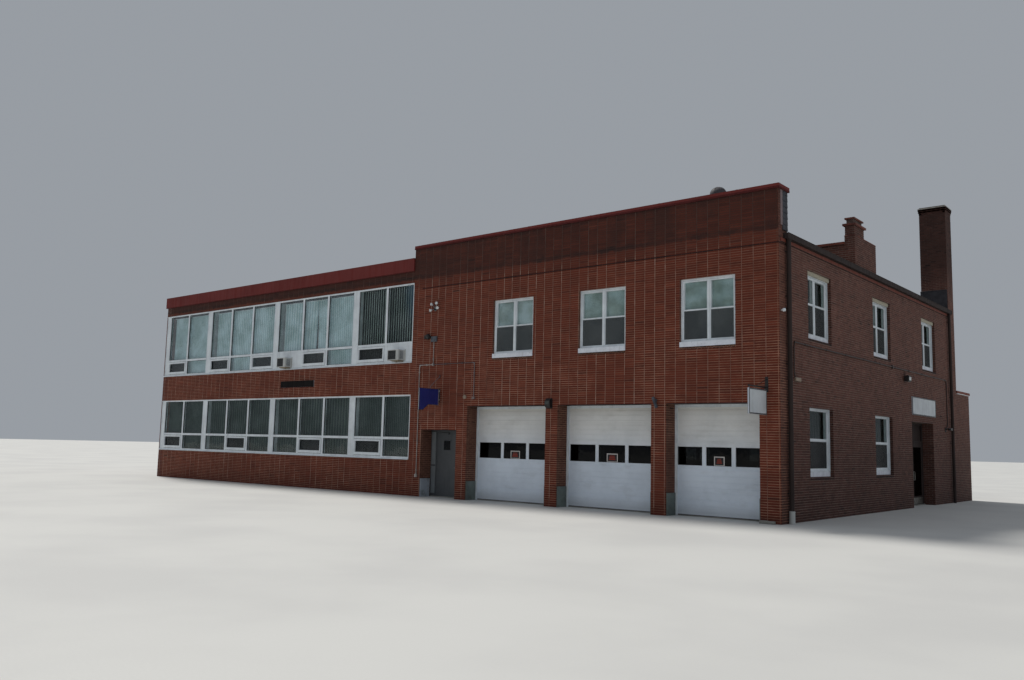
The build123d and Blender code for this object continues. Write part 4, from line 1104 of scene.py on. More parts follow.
s, bd = Shape(), Shape()
hoppers = [(bay_of(-15.9), 1), (bay_of(-19.3), 1), (bay_of(-22.8), 1), (bay_of(-26.0), 1), (bay_of(-29.4), 1),
           (bay_of(-15.9), 3), (bay_of(-19.3), 3), (bay_of(-24.4), 3), (bay_of(-29.4), 3)]
for side, y, sg in (("front", 0.02, -1), ("rear", WY - 0.02, 1)):
    P = (lambda u, d, z: (u, 0.02 + d, z)) if sg < 0 else (lambda u, d, z: (u, WY - 0.02 - d, z))
    for a, b in BAYS:
        for i, (z0, z1) in enumerate(rows):
            if sg < 0 and i == 1 and any(a < p < b for p in PANELS):
                continue
            # dark glazing beads stand back from the bar faces, in front of the glass
            bd.ring(a, b, z0, z1, [(0, 0.012), (0.006, 0.012), (0.009, 0.018), (0.009, 0.046), (0.0, 0.046)], P)
            if sg < 0 and ((a, b), i) in hoppers:
                s.ring(a + 0.012, b - 0.012, z0 + 0.012, z1 - 0.012,
                       [(0, 0.03), (0, -0.020), (0.006, -0.026), (0.062, -0.026), (0.070, -0.014), (0.070, 0.03)], P)
                s.box(a + 0.060, b - 0.060, 0.02 - 0.024, 0.02 + 0.028, z0 + 0.060, z0 + 0.115, 0.005)
                m = (a + b) / 2
                s.box(m - 0.035, m + 0.035, 0.02 - 0.040, 0.02 - 0.030, z0 + 0.022, z0 + 0.045, 0.002)
    # wide mullions wrapped in sheet, one side step each
    for a, b in WIDE + [POST_L]:
        for z0, z1 in ((W_S1, W_R1), (W_BASE, W_R2)):
            for q0, q1 in ((a + 0.006, a + 0.030), (b - 0.030, b - 0.006)):
                if sg < 0:
                    s.box(q0, q1, 0.004, 0.022, z0 + 0.01, z1 - 0.01, 0.003)
                else:
                    s.box(q0, q1, WY - 0.022, WY - 0.004, z0 + 0.01, z1 - 0.01, 0.003)
    # head and sill members with a drip
    for z0, z1 in ((W_S1, W_R1), (W_BASE, W_R2)):
        if sg < 0:
            s.prism([(0.021, z0 - 0.002), (-0.030, z0 - 0.002), (-0.034, z0 + 0.010), (-0.026, z0 + 0.030), (0.021, z0 + 0.055)],
                    lambda p, q, x: (x, p, q), RIB_L, RIB_R - 0.002)
            s.box(RIB_L, RIB_R - 0.002, -0.004, 0.021, z1 - 0.032, z1 - 0.001, 0.003)
        else:
            s.prism([(WY - 0.021, z0 - 0.002), (WY + 0.030, z0 - 0.002), (WY + 0.034, z0 + 0.010), (WY + 0.026, z0 + 0.030), (WY - 0.021, z0 + 0.055)],
                    lambda p, q, x: (x, p, q), RIB_L, RIB_R - 0.002)
            s.box(RIB_L, RIB_R - 0.002, WY - 0.021, WY + 0.004, z1 - 0.032, z1 - 0.001, 0.003)
# edge frames of the solid panels under the rightmost lights
for p in PANELS:
    a, b = bay_of(p)
    z0, z1 = W_S1 + 0.095, RT1[0]
    s.ring(a, b, z0, z1, [(0, 0.0), (0, -0.004), (0.012, -0.004), (0.018, 0.002), (0.018, 0.004), (0.0, 0.004)], on_front(0.02))
s.make("ribbon_sashes", [M_WHITE], slot="white_frame")
scr = Shape()
for (a, b), j in hoppers:
    z0, z1 = rows[j]
    scr.grid(8, 6, lambda u, v, a=a, b=b, z0=z0, z1=z1: (a - 0.01 + (b - a + 0.02) * u, 0.074 + 0.002 * math.sin(math.pi * u) * math.sin(math.pi * v),
                                                         z0 - 0.01 + (z1 - z0 + 0.02) * v))
scr.make("hopper_screens", [M_SCREEN_D], slot="dark_metal", fix=False)
bd.make("ribbon_beads", [M_RUBBER], slot="dark_metal")


def drape(shape, a, b, z0, z1, y, waves, depth, rng, la=0.0, lb=0.0):
    """A hung curtain from a to b. la and lb move its edges at the hem."""
    n = max(8, int(waves * 10))
    ph = rng.uniform(0, 6.28)
    jit = [rng.uniform(-0.4, 0.4) for _ in range(4)]

    def fold(u):
        return math.sin(2 * math.pi * waves * u + ph + jit[0] * math.sin(5 * u) + jit[1] * math.sin(13 * u))

    def point(u, v):
        p, q = a + la * (1 - v), b + lb * (1 - v)
        return (p + (q - p) * u, y + depth * fold(u) * (0.55 + 0.45 * (1 - v)), z0 + (z1 - z0) * v)

    # the tone carries painted shade into the backs of the folds
    shape.grid(n, 10, point, tone=lambda u, v: (0.5 - 0.5 * fold(u), 0.5, 0.5))


rng = random.Random(77)
s, d, d2, gap = Shape(), Shape(), Shape(), Shape()
GROUPS = [(WIDE[0][1], RIB_R), (WIDE[1][1], WIDE[0][0]), (WIDE[2][1], WIDE[1][0]), (POST_L[1], WIDE[2][0])]
for y, front in ((0.235, True), (WY - 0.235, False)):
    for k, (a, b) in enumerate(GROUPS):
        # upper windows
        z0, z1 = W_S1 + 0.03, W_R1 - 0.13
        if front and k == 0:
            drape(d, a - 0.02, b - 0.01, z0, W_R1 - 0.02, y, 24.0, 0.020, rng)
        elif front and k == 1:
            xg = -19.42
            drape(s, a + 0.11, xg, z0, z1, y, 13.0, 0.026, rng, lb=-0.09)
            drape(s, xg + 0.03, b + 0.02, z0, z1, y, 20.0, 0.026, rng, la=0.11)
            # a dark sheet behind the gap between the drapes, painted shade standing in for the room beyond
            gap.grid(6, 10, lambda u, v: (xg - 0.24 + 0.62 * u, y + 0.045 + 0.004 * math.sin(9 * u), z0 + (z1 - z0) * v))
        else:
            drape(s, a + 0.11 * front - 0.02 * (not front), b + 0.02, z0, z1, y, 34.0, 0.026, rng)
        # lower windows
        drape(d2, a - 0.02, b + 0.02 - 0.03 * (k == 0), W_BASE + 0.03, W_R2 - 0.02, y, 30.0, 0.024, rng)
gap.make("curtain_gap_shade_panel", [M_SHADE_SHEET], slot="white_frame", fix=False, smooth=True)
s.make("pale_drapes", [M_DRAPE], slot="white_frame", fix=False, smooth=True)
d.make("narrow_fold_drapes", [M_DRAPE_R], slot="white_frame", fix=False, smooth=True)
d2.make("dark_drapes", [M_DRAPE_D], slot="white_frame", fix=False, smooth=True)

# curtain tracks that carry the drapes
s = Shape()
for y in (0.235, WY - 0.235):
    for a, b in GROUPS:
        z = W_R1 - (0.02 if a > -17 and y < 1 else 0.13)
        s.box(a - 0.02, b - 0.01, y - 0.018, y + 0.018, z, z + 0.03, 0.004)
        s.box(a - 0.02, b - 0.01, y - 0.018, y + 0.018, W_R2 - 0.02, W_R2 + 0.01, 0.004)
s.make("drape_tracks", [M_WHITE], slot="white_frame")

# ------------------------------------------------------------------ vehicle doors
RIBS_LOW = [0.132, 0.290, 0.460, 0.800, 0.955, 1.120, 1.295]
RIBS_TOP = [2.080, 2.230, 2.370, 2.520, 2.657, 2.815, 2.955]
JOINTS = [0.660, 1.330, 2.030, 2.600]


def skin_profile(z0, z1):
    """(z, depth) line of the ribbed steel skin between two heights, in front of the slab face."""
    marks = sorted([(z, "rib") for z in RIBS_LOW + RIBS_TOP if z0 + 0.03 < z < z1 - 0.03]
                   + [(z, "gap") for z in JOINTS if z0 + 0.02 < z < z1 - 0.02])
    pts = [(z0, 0.0), (z0, 0.006), (z0 + 0.003, 0.009)]
    for z, kind in marks:
        if kind == "rib":
            pts += [(z - 0.020, 0.009), (z - 0.008, 0.001), (z + 0.003, 0.001), (z + 0.007, 0.012), (z + 0.020, 0.009)]
        else:
            pts += [(z - 0.012, 0.009), (z - 0.005, 0.006), (z - 0.004, 0.0004), (z + 0.004, 0.0004), (z + 0.005, 0.006), (z + 0.012, 0.009)]
    pts += [(z1 - 0.003, 0.009), (z1, 0.006), (z1, 0.0)]
    return pts


for i, (a, b) in enumerate(GAR):
    s = Shape()
    x0, x1 = a + 0.077, b - 0.077
    c = (a + b) / 2 - (3 * PW[i] + 2 * PG[i]) / 2 + PS[i]
    panes = [(c + k * (PW[i] + PG[i]), c + k * (PW[i] + PG[i]) + PW[i]) for k in range(3)]
    put = lambda p, q, x: (x, T_F - 0.0002 - q, p)
    s.prism(skin_profile(0.04, GW[0] - 0.028), put, x0, x1)
    s.prism(skin_profile(GW[1] + 0.028, Z_HEAD - 0.078), put, x0, x1)
    cuts = [x0] + [e for p in panes for e in (p[0] - 0.028, p[1] + 0.028)] + [x1]
    for k in range(0, len(cuts), 2):
        if cuts[k + 1] - cuts[k] > 0.02:
            s.prism([(GW[0] - 0.027, 0.0), (GW[0] - 0.027, 0.009), (GW[1] + 0.027, 0.009), (GW[1] + 0.027, 0.0)], put, cuts[k], cuts[k + 1])
    P = on_front(T_F - 0.0002)
    for p, q in panes:
        s.slot = 0
        s.ring(p - 0.030, q + 0.030, GW[0] - 0.030, GW[1] + 0.030,
               [(0, 0.0), (0, -0.012), (0.005, -0.016), (0.024, -0.016), (0.031, -0.008), (0.031, 0.0)], P)
        s.slot = 1
        s.ring(p, q, GW[0], GW[1], [(0, 0.0), (0.0, -0.004), (0.010, -0.002), (0.012, 0.020), (0.0, 0.020)], P)
    # bottom seal
    s.slot = 1
    s.box(x0 + 0.01, x1 - 0.01, T_F - 0.010, T_F - 0.0005, 0.031, 0.046, 0.003)
    s.make("vehicle_door_skin_%d" % (i + 1), [M_DOOR, M_RUBBER], slot="white_door")
    # card in the middle light
    t = Shape()
    p, q = panes[1]
    u0, u1 = p + (q - p) * 0.30, p + (q - p) * 0.71
    t.box(u0, u1, T_F + 0.0165, T_F + 0.0195, 1.402, 1.660, 0.001)
    t.slot = 1
    t.ring(u0, u1, 1.402, 1.660, [(0, 0.0), (0, -0.003), (0.026, -0.003), (0.026, 0.0)], on_front(T_F + 0.0165))
    t.slot = 2
    for k, (z0, z1) in enumerate(((1.470, 1.508), (1.520, 1.560), (1.574, 1.602))):
        e = 0.050 + 0.016 * k
        t.box(u0 + e + 0.02, u1 - e - 0.03, T_F + 0.0150, T_F + 0.0168, z0, z1, 0.0005)
    t.make("window_card_%d" % (i + 1), [M_RUBBER, M_CARD, M_ORANGE], slot="sign_board")

# weather stops round the vehicle doors
s = Shape()
for a, b in GAR:
    for x0, x1 in ((a + 0.070, a + 0.086), (b - 0.086, b - 0.070)):
        s.slot = 0
        s.box(x0 - 0.004, x1 - 0.004, T_F - 0.050, T_F - 0.0115, 0.0, Z_HEAD - 0.07, 0.003)
    s.box(a + 0.07, b - 0.07, T_F - 0.050, T_F - 0.0115, Z_HEAD - 0.086, Z_HEAD - 0.070, 0.003)
s.make("vehicle_door_stops", [M_WHITE], slot="white_frame")

# steel angle over each wide opening
s = Shape()
for a, b in GAR + [ENTRY]:
    z = Z_ENTRY if (a, b) == ENTRY else Z_HEAD
    s.prism([(-0.006, z - 0.004), (-0.006, z + 0.008), (0.10, z + 0.008), (0.10, z + 0.001), (T_F - 0.05, z + 0.001), (T_F - 0.05, z - 0.004)],
            lambda p, q, x: (x, p, q), a - 0.0, b + 0.0)
s.make("opening_lintel_plates", [M_DARK], slot="dark_metal")

# ------------------------------------------------------------------ entry door
s = Shape()
DX0, DX1 = -12.82, -11.70
P = on_front(T_F)
s.ring(DX0 + 0.34 - 0.035, DX0 + 0.65 + 0.035, 1.585, 1.975,
       [(0, 0.0), (0, -0.007), (0.004, -0.010), (0.026, -0.010), (0.036, 0.002), (0.036, 0.010), (0.030, 0.0)], P)
s.slot = 1
s.box(DX0 + 0.341, DX0 + 0.649, T_F + 0.0115, T_F + 0.0155, 1.621, 1.939, 0.001)
s.slot = 2
s.box(DX1 - 0.135, DX1 - 0.075, T_F - 0.012, T_F, 0.93, 1.19, 0.004)
s.lathe((DX1 - 0.105, T_F - 0.012, 1.02), (0, -1, 0), [(0.024, 0), (0.024, 0.006), (0.011, 0.010), (0.011, 0.050), (0.009, 0.056)], 20)
s.tube([(DX1 - 0.105, T_F - 0.060, 1.02), (DX1 - 0.16, T_F - 0.063, 1.02), (DX1 - 0.215, T_F - 0.058, 1.018)], 0.009, 12)
s.lathe((DX1 - 0.105, T_F - 0.012, 1.13), (0, -1, 0), [(0.016, 0), (0.016, 0.008), (0.012, 0.012)], 20)
s.slot = 0
s.box(DX0 + 0.25, DX0 + 0.60, T_F - 0.055, T_F - 0.001, 2.155, 2.215, 0.006)
s.make("entry_door_fittings", [M_GREY, M_GLASS_D, M_BRASS], body="entry_door", slot="grey_steel")

s = Shape()
# pressed edges and filler panel of the entry frame
s.ring(ENTRY[0] + 0.003, ENTRY[1] - 0.003, 0.0, Z_ENTRY - 0.002, [(0, 0.0), (0, -0.012), (0.020, -0.012), (0.024, 0.0)], P)
s.ring(DX0 - 0.045, DX1 + 0.045, 0.0, Z_ENTRY - 0.02, [(0.0, 0.0), (0.0, -0.009), (0.040, -0.009), (0.042, 0.0)], P)
s.slot = 2
s.box(ENTRY[0] + 0.03, DX0 - 0.05, T_F - 0.009, T_F, 0.12, 1.05, 0.003)
s.box(ENTRY[0] + 0.03, DX0 - 0.05, T_F - 0.009, T_F, 1.11, Z_ENTRY - 0.06, 0.003)
s.slot = 0
s.box(DX1 + 0.05, ENTRY[1] - 0.03, T_F - 0.009, T_F, 0.12, 1.05, 0.003)
s.box(DX1 + 0.05, ENTRY[1] - 0.03, T_F - 0.009, T_F, 1.11, Z_ENTRY - 0.06, 0.003)
s.slot = 1
s.prism([(T_F - 0.055, 0.0), (T_F - 0.055, 0.012), (T_F - 0.04, 0.026), (T_F - 0.001, 0.029), (T_F - 0.001, 0.0)], lambda p, q, x: (x, p, q), ENTRY[0] + 0.04, ENTRY[1] - 0.04)
s.make("entry_frame_edges", [M_GREY, M_CONC, M_GREY_L], slot="grey_steel")

# ------------------------------------------------------------------ side entrance
for nm, a, b, hinge in (("front", 11.296, 12.515, -1), ("rear", 12.525, 13.744, 1)):
    s = Shape()
    P = on_side(-0.40)
    s.ring(a + 0.105, b - 0.105, 0.315, 2.128, [(0, 0.0), (0, -0.006), (0.004, -0.009), (0.016, -0.009), (0.022, 0.004), (0.022, 0.012), (0.018, 0.0)], P)
    s.slot = 1
    s.box(-0.4145, -0.4105, a + 0.121, b - 0.121, 0.331, 2.112, 0.001)
    s.slot = 2
    k = b - 0.075 if hinge < 0 else a + 0.075
    s.tube([(-0.399, k, 0.92), (-0.345, k, 0.92), (-0.340, k, 0.925), (-0.340, k, 1.215), (-0.345, k, 1.22), (-0.399, k, 1.22)], 0.011, 12)
    s.lathe((-0.40, k, 0.92), (1, 0, 0), [(0.022, 0), (0.022, 0.006), (0.012, 0.008)], 18)
    s.lathe((-0.40, k, 1.22), (1, 0, 0), [(0.022, 0), (0.022, 0.006), (0.012, 0.008)], 18)
    s.box(-0.400, -0.3975, a + 0.03, b - 0.03, 0.05, 0.28, 0.001)
    s.make("side_leaf_fittings_" + nm, [M_DARK, M_GLASS_D, M_BRASS], body="side_door_" + nm, slot="dark_metal")
s = Shape()
P = on_side(-0.40)
s.ring(SDOOR[0] + 0.004, SDOOR[1] - 0.004, 0.0, SDOOR_H - 0.003, [(0, 0.0), (0, -0.012), (0.024, -0.012), (0.030, 0.0)], P)
s.ring(SDOOR[0] + 0.10, SDOOR[1] - 0.10, 2.32, SDOOR_H - 0.06, [(0, 0.0), (0, -0.008), (0.018, -0.008), (0.024, 0.030), (0.0, 0.030)], P)
s.slot = 1
s.prism([(0.345, 0.0), (0.345, 0.012), (0.36, 0.026), (0.399, 0.029), (0.399, 0.0)], lambda p, q, y: (-p, y, q), SDOOR[0] + 0.01, SDOOR[1] - 0.01)
s.make("side_entrance_edges", [M_DARK, M_CONC], slot="dark_metal")

# ------------------------------------------------------------------ copings, fascia, gutter, roof
s = Shape()
# hemmed drip edge and joint covers of the main coping
CX0, CX1, CY0, CY1 = XL, 0.05, -0.045, T_PAR + 0.055
s.slot = 1
s.ring(CX0 - 0.004, CX1 + 0.004, CY0 - 0.004, CY1 + 0.004,
       [(0, Z_PAR - 0.008), (0, Z_PAR + 0.040), (0.0045, Z_PAR + 0.046), (0.030, Z_PAR + 0.046), (0.030, Z_PAR - 0.008)], lambda u, d, z: (u, z, d))
s.slot = 0
x = CX0 + 0.4
while x < CX1:
    s.prism([(CY0 - 0.003, Z_PAR + 0.048), (CY0 - 0.003, Z_COP + 0.003), (CY1 + 0.003, Z_COP + 0.003), (CY1 + 0.003, Z_PAR + 0.048), (CY1 - 0.004, Z_PAR + 0.048),
             (CY1 - 0.004, Z_COP - 0.003), (CY0 + 0.004, Z_COP - 0.003), (CY0 + 0.004, Z_PAR + 0.048)],
            lambda p, q, x: (x, p, q), x, x + 0.055)
    x += 2.42
s.make("coping_edges", [M_MAROON, M_MAROON_D], slot="maroon_metal")

s = Shape()
XF = WX0 - 0.0899
for z0, z1, o, sl in ((W_FAS - 0.012, W_FAS + 0.006, 0.004, 0), (W_TOP - 0.004, W_TOP + 0.014, 0.004, 1)):
    s.slot = sl
    s.box(XF, XL - 0.001, -0.06 - o, -0.055, z0, z1, 0.003)
    s.box(XF, WX0 - 0.080, -0.06 - o, WY + 0.06 + o, z0, z1, 0.003)
    s.box(XF, XL - 0.001, WY + 0.055, WY + 0.06 + o, z0, z1, 0.003)
s.slot = 0
x = WX0 + 1.2
while x < XL - 0.3:
    s.box(x, x + 0.04, -0.0607, -0.058, W_TOP + 0.015, W_FAS - 0.013, 0.0004)
    s.box(x, x + 0.04, WY + 0.058, WY + 0.0607, W_TOP + 0.015, W_FAS - 0.013, 0.0004)
    x += 3.05
# roof edge flashing behind the fascia
s.slot = 2
s.prism([(-0.05, W_FAS), (-0.05, W_FAS + 0.004), (0.02, W_FAS + 0.004), (0.14, W_FAS - 0.052), (0.14, W_FAS - 0.059), (0.0, W_FAS - 0.059)],
        lambda p, q, x: (x, p, q), WX0 - 0.05, XL)
s.prism([(WY + 0.05, W_FAS), (WY + 0.05, W_FAS + 0.004), (WY - 0.02, W_FAS + 0.004), (WY - 0.14, W_FAS - 0.052), (WY - 0.14, W_FAS - 0.059), (WY, W_FAS - 0.059)],
        lambda p, q, x: (x, p, q), WX0 - 0.05, XL)
s.prism([(WX0 - 0.05, W_FAS), (WX0 - 0.05, W_FAS + 0.004), (WX0 + 0.02, W_FAS + 0.004), (WX0 + 0.14, W_FAS - 0.052), (WX0 + 0.14, W_FAS - 0.059), (WX0, W_FAS - 0.059)],
        lambda p, q, y: (p, y, q), 0.0, WY)
s.make("fascia_edges", [M_MAROON, M_MAROON_D, M_ROOF], slot="maroon_metal")

# slate-grey boards on the parapet ends, lapped
s = Shape()
for sgn, xf, z0 in ((1, 0.008, Z_WALL + 0.03), (-1, XL - 0.008, W_FAS)):
    z = z0
    while z < Z_PAR - 0.02:
        z1 = min(z + 0.165, Z_PAR - 0.002)
        s.prism([(0.0, z + 0.002), (0.013, z + 0.002), (0.011, z + 0.012), (0.003, z1), (0.0, z1)],
                lambda p, q, y, xf=xf, sgn=sgn: (xf + sgn * p, y, q), 0.262, T_PAR - 0.002)
        z += 0.16
    s.slot = 1
    zt = 7.81 if sgn > 0 else z0
    xw = 0.0 if sgn > 0 else XL
    s.prism([(0.001, 0.150), (0.007, 0.152), (0.009, 0.238), (0.015, 0.246), (0.015, 0.262), (0.001, 0.262)],
            lambda p, q, z, xw=xw, sgn=sgn: (xw + sgn * p, q, z), zt, Z_PAR - 0.001)
    s.slot = 0
s.make("parapet_end_boards", [M_SLATE, M_TRIM], slot="slate_cladding")

s = Shape()
# rolled gutter lip, brackets and outlet collars
s.tube([(0.150, 0.302, 7.598), (0.150, 16.498, 7.598)], 0.009, 10)
y = 0.5
while y < 16.4:
    s.box(0.002, 0.149, y, y + 0.028, 7.591, 7.599, 0.002)
    s.box(0.1495, 0.1530, y, y + 0.028, 7.456, 7.596, 0.001)
    y += 0.61
for y0 in (3.6, 6.65, 9.7, 12.75, 15.8):
    s.prism([(0.0, 7.446), (0.1535, 7.446), (0.1535, 7.594), (0.1505, 7.594), (0.1505, 7.4495), (0.0, 7.4495)],
            lambda p, q, y: (p, y, q), y0, y0 + 0.045)
for yy, rr in ((0.46, 0.061), (16.23, 0.055)):
    s.lathe((0.088, yy, 7.405), (0, 0, 1), [(rr + 0.003, 0), (rr + 0.009, 0.006), (rr + 0.009, 0.03), (rr + 0.014, 0.045)], 28)
    for z in (0.75, 2.3, 4.1, 5.9, 7.1):
        s.lathe((0.088, yy, z), (0, 0, 1), [(rr + 0.0005, 0), (rr + 0.004, 0.003), (rr + 0.004, 0.032), (rr + 0.0005, 0.035)], 28)
        s.box(0.0, 0.045, yy - rr - 0.018, yy + rr + 0.018, z + 0.004, z + 0.031, 0.002)
    for z in (3.05, 6.1):
        s.lathe((0.088, yy, z), (0, 0, 1), [(rr + 0.0005, 0), (rr + 0.004, 0.002), (rr + 0.004, 0.075), (rr + 0.0005, 0.078)], 28)
s.slot = 1
s.lathe((0.090, 0.46, 0.0), (0, 0, 1), [(0.079, 0.0), (0.079, 0.012), (0.0765, 0.02), (0.0765, 0.29), (0.081, 0.298), (0.081, 0.314), (0.062, 0.324)], 28)
s.make("gutter_fittings", [M_DARK, M_CASE], slot="dark_metal", smooth=True)

s = Shape()
for y0 in np.arange(0.11, 16.4, 2.44):
    s.box(0.024, 0.0275, y0, min(y0 + 2.43, 16.49), 7.352, 7.448, 0.002)
s.slot = 1
s.box(0.0, 0.034, 0.112, 16.498, 7.338, 7.352, 0.003)
s.make("eave_trim", [M_RUST, M_DARK], slot="rust_metal")

# roofing seams, upstands and flashings
s = Shape()
x = XL + 0.9
while x < -0.6:
    for y0, y1 in ((T_PAR + 0.02, FY0 - 0.02), (FY1 + 0.02, 16.45)):
        s.prism([(-0.05, 7.6002), (-0.045, 7.606), (0.045, 7.606), (0.05, 7.6002)], lambda p, q, y, x=x: (x + p, y, q), y0, y1 if x > -13.3 else min(y1, 12.0))
    x += 1.02
x = WX0 + 1.0
while x < XL - 0.3:
    s.prism([(-0.05, W_FAS - 0.0598), (-0.045, W_FAS - 0.054), (0.045, W_FAS - 0.054), (0.05, W_FAS - 0.0598)],
            lambda p, q, y, x=x: (x + p, y, q), 0.2, WY - 0.2)
    x += 1.02
# back of the parapet is dressed with the same sheet
s.grid(40, 4, lambda u, v: (XL + 0.36 + (13.32 - 0.78) * u, T_PAR + 0.004 + 0.10 * max(0.0, 0.12 - v) * 4, 7.602 + 1.16 * v))
s.prism([(T_PAR + 0.001, 7.601), (T_PAR + 0.09, 7.601), (T_PAR + 0.012, 7.70), (T_PAR + 0.001, 7.70)], lambda p, q, x: (x, p, q), XL + 0.36, -0.42)
for y0, sg in ((FY0, -1), (FY1, 1)):
    s.prism([(0.006, 7.601), (0.09, 7.601), (0.014, 7.72), (0.006, 7.76)], lambda p, q, x, y0=y0, sg=sg: (x, y0 + sg * p, q), XL + 0.36, -0.34)
s.slot = 1
for y0, sg in ((FY0, -1), (FY1, 1)):
    s.box(XL + 0.36, -0.34, min(y0, y0 + sg * 0.012), max(y0, y0 + sg * 0.012), 7.755, 7.80, 0.002)
s.make("roof_sheet_seams", [M_ROOF, M_LEAD], slot="roof_membrane")

s = Shape()
# seams and drips of the red copings, with dark strips at the foot of the fire-wall copings as painted shade beneath
# them
x = XL + 0.8
while x < -0.6:
    s.box(x, x + 0.05, FY0 - 0.063, FY1 + 0.063, F_TOP + 0.01, F_COP + 0.003, 0.002)
    x += 1.9
# painted shade: dark strips along the foot of the fire-wall copings
s.slot = 1
s.box(XL + 0.352, RC_X0 - 0.002, FY0 - 0.064, FY0 - 0.050, F_TOP - 0.014, F_TOP + 0.004, 0.003)
s.box(XL + 0.352, RC_X0 - 0.002, FY1 + 0.050, FY1 + 0.064, F_TOP - 0.014, F_TOP + 0.004, 0.003)
s.slot = 2
s.box(0.001, 0.040, CH_Y1 + 0.002, AY1 + 0.040, A_TOP - 0.022, A_TOP + 0.002, 0.003)
s.box(AX0 - 0.040, 0.040, AY1 + 0.001, AY1 + 0.040, A_TOP - 0.022, A_TOP + 0.002, 0.003)
s.slot = 0
for y in (17.9, 18.6):
    s.box(-0.39, 0.046, y, y + 0.05, A_TOP + 0.01, A_COP + 0.003, 0.002)
for x in (-5.2, -3.6, -2.0):
    s.box(x, x + 0.05, AY1 - 0.392, AY1 + 0.0449, A_TOP + 0.01, A_COP + 0.003, 0.002)
s.make("red_coping_seams", [M_RUST, M_DARK, M_WHITE], slot="rust_metal")

s = Shape()
# sheet flashing at the foot of the corner chimney
s.box(CH_X0 - 0.03, -0.012, CH_Y0 - 0.018, CH_Y0 - 0.004, 7.665, 8.47, 0.003)
s.box(CH_X0 - 0.022, CH_X0 - 0.006, CH_Y0 - 0.018, YB - 0.02, 7.61, 8.47, 0.003)
s.prism([(CH_Y0 - 0.018, 8.455), (CH_Y0 - 0.030, 8.462), (CH_Y0 - 0.030, 8.480), (CH_Y0 - 0.001, 8.500), (CH_Y0 - 0.001, 8.455)],
        lambda p, q, x: (x, p, q), CH_X0 - 0.032, -0.008)
for k in range(1, 3):
    s.box(CH_X0 + k * 0.33 - 0.012, CH_X0 + k * 0.33 + 0.012, CH_Y0 - 0.024, CH_Y0 - 0.014, 7.67, 8.455, 0.003)
s.make("chimney_flashing", [M_LEAD], slot="slate_cladding")

s = Shape()
# caps of the small roof stack, with a drip and a mortar wash
for z0, z1, o, y0, y1 in ((8.958, 9.027, 0.047, FY0 - 0.047, FY0 + 0.942), (9.173, 9.222, -0.003, FY0 + 0.008, FY0 + 0.852)):
    s.ring(RC_X0 - o, o, y0, y1, [(0.0, z0), (0.0, z1 - 0.012), (0.010, z1), (0.12, z1 + 0.012), (0.12, z0)], lambda u, d, z: (u, z, d))
s.ring(RC_X0 - 0.008, 0.008, FY0 - 0.008, RC_Y1 + 0.008, [(0.0, RC_LEDGE - 0.022), (0.0, RC_LEDGE - 0.004), (0.016, RC_LEDGE + 0.012), (0.10, RC_LEDGE + 0.012), (0.10, RC_LEDGE - 0.022)], lambda u, d, z: (u, z, d))
s.make("roof_stack_caps", [M_TERRA], slot="brick_side")

s = Shape()
s.lathe((-2.30, 1.15, 7.60), (0, 0, 1), [(0.20, 0.001), (0.19, 0.02), (0.09, 0.035), (0.078, 0.20), (0.074, 0.21)], 32)
for z in (9.152, 9.186):
    s.lathe((-2.30, 1.15, z), (0, 0, 1), [(0.250, 0.0), (0.257, 0.003), (0.257, 0.011), (0.250, 0.014)], 40)
for k in range(8):
    a = math.pi * k / 4
    prof = [(0.2515 * math.cos(t), 9.19 + 0.2515 * math.sin(t)) for t in [0.06 + 1.40 * j / 8 for j in range(9)]]
    s.tube([(-2.30 + r * math.cos(a), 1.15 + r * math.sin(a), min(z, 9.4385)) for r, z in prof], 0.005, 6)
s.make("roof_vent_bands", [M_VENT], slot="galvanised_metal", smooth=True)

# ------------------------------------------------------------------ fixtures on the walls
s = Shape()
# four small flood lamps on one back plate
s.slot = 0
s.box(-12.60, -12.52, -0.030, 0.0, 6.45, 6.60, 0.006)
s.slot = 2
s.lathe((-12.565, -0.03, 6.50), (0, -1, 0), [(0.036, 0.0), (0.036, 0.030), (0.028, 0.045)], 20)
for x, z, dx, dz in ((-12.665, 6.675, -0.30, 0.20), (-12.435, 6.690, 0.30, 0.20), (-12.700, 6.480, -0.35, -0.25), (-12.385, 6.540, 0.40, -0.15)):
    ax = Vector((dx, -1.0, dz)).normalized()
    base = Vector((x, -0.075, z))
    s.slot = 1
    s.lathe(base, ax, [(0.018, -0.018), (0.032, -0.006), (0.042, 0.020), (0.049, 0.058), (0.051, 0.064), (0.047, 0.066), (0.043, 0.056)], 26)
    s.slot = 3
    s.lathe(base + ax * 0.050, ax, [(0.043, 0.0), (0.043, 0.010), (0.030, 0.015), (0.010, 0.018)], 26)
    s.slot = 0
    s.tube([(-12.565, -0.035, 6.515), ((x - 12.565) / 2, -0.050, (6.515 + z) / 2 + 0.01), base], 0.010, 8)
s.make("flood_lamp_cluster", [M_GALV, M_WHITE, M_BLACK, M_LENS], slot="lamp_housing", smooth=True, replaces=("wall_lights",))

s = Shape()
# black dusk camera case with its junction box, left of the tall front
s.slot = 0
s.box(-12.71, -12.43, -0.060, 0.0, 5.36, 5.55, 0.010)
s.slot = 1
s.lathe((-12.80, -0.055, 5.56), (-0.25, -0.85, -0.35), [(0.060, -0.03), (0.090, 0.0), (0.096, 0.05), (0.090, 0.09), (0.070, 0.10)], 28)
s.tube([(-12.70, -0.03, 5.50), (-12.74, -0.06, 5.56), (-12.80, -0.06, 5.57)], 0.014, 10)
s.box(-12.99, -12.86, -0.12, -0.05, 5.47, 5.60, 0.015)
s.make("front_camera_and_box", [M_GALV_D, M_BLACK], slot="lamp_housing", smooth=True)

s = Shape()
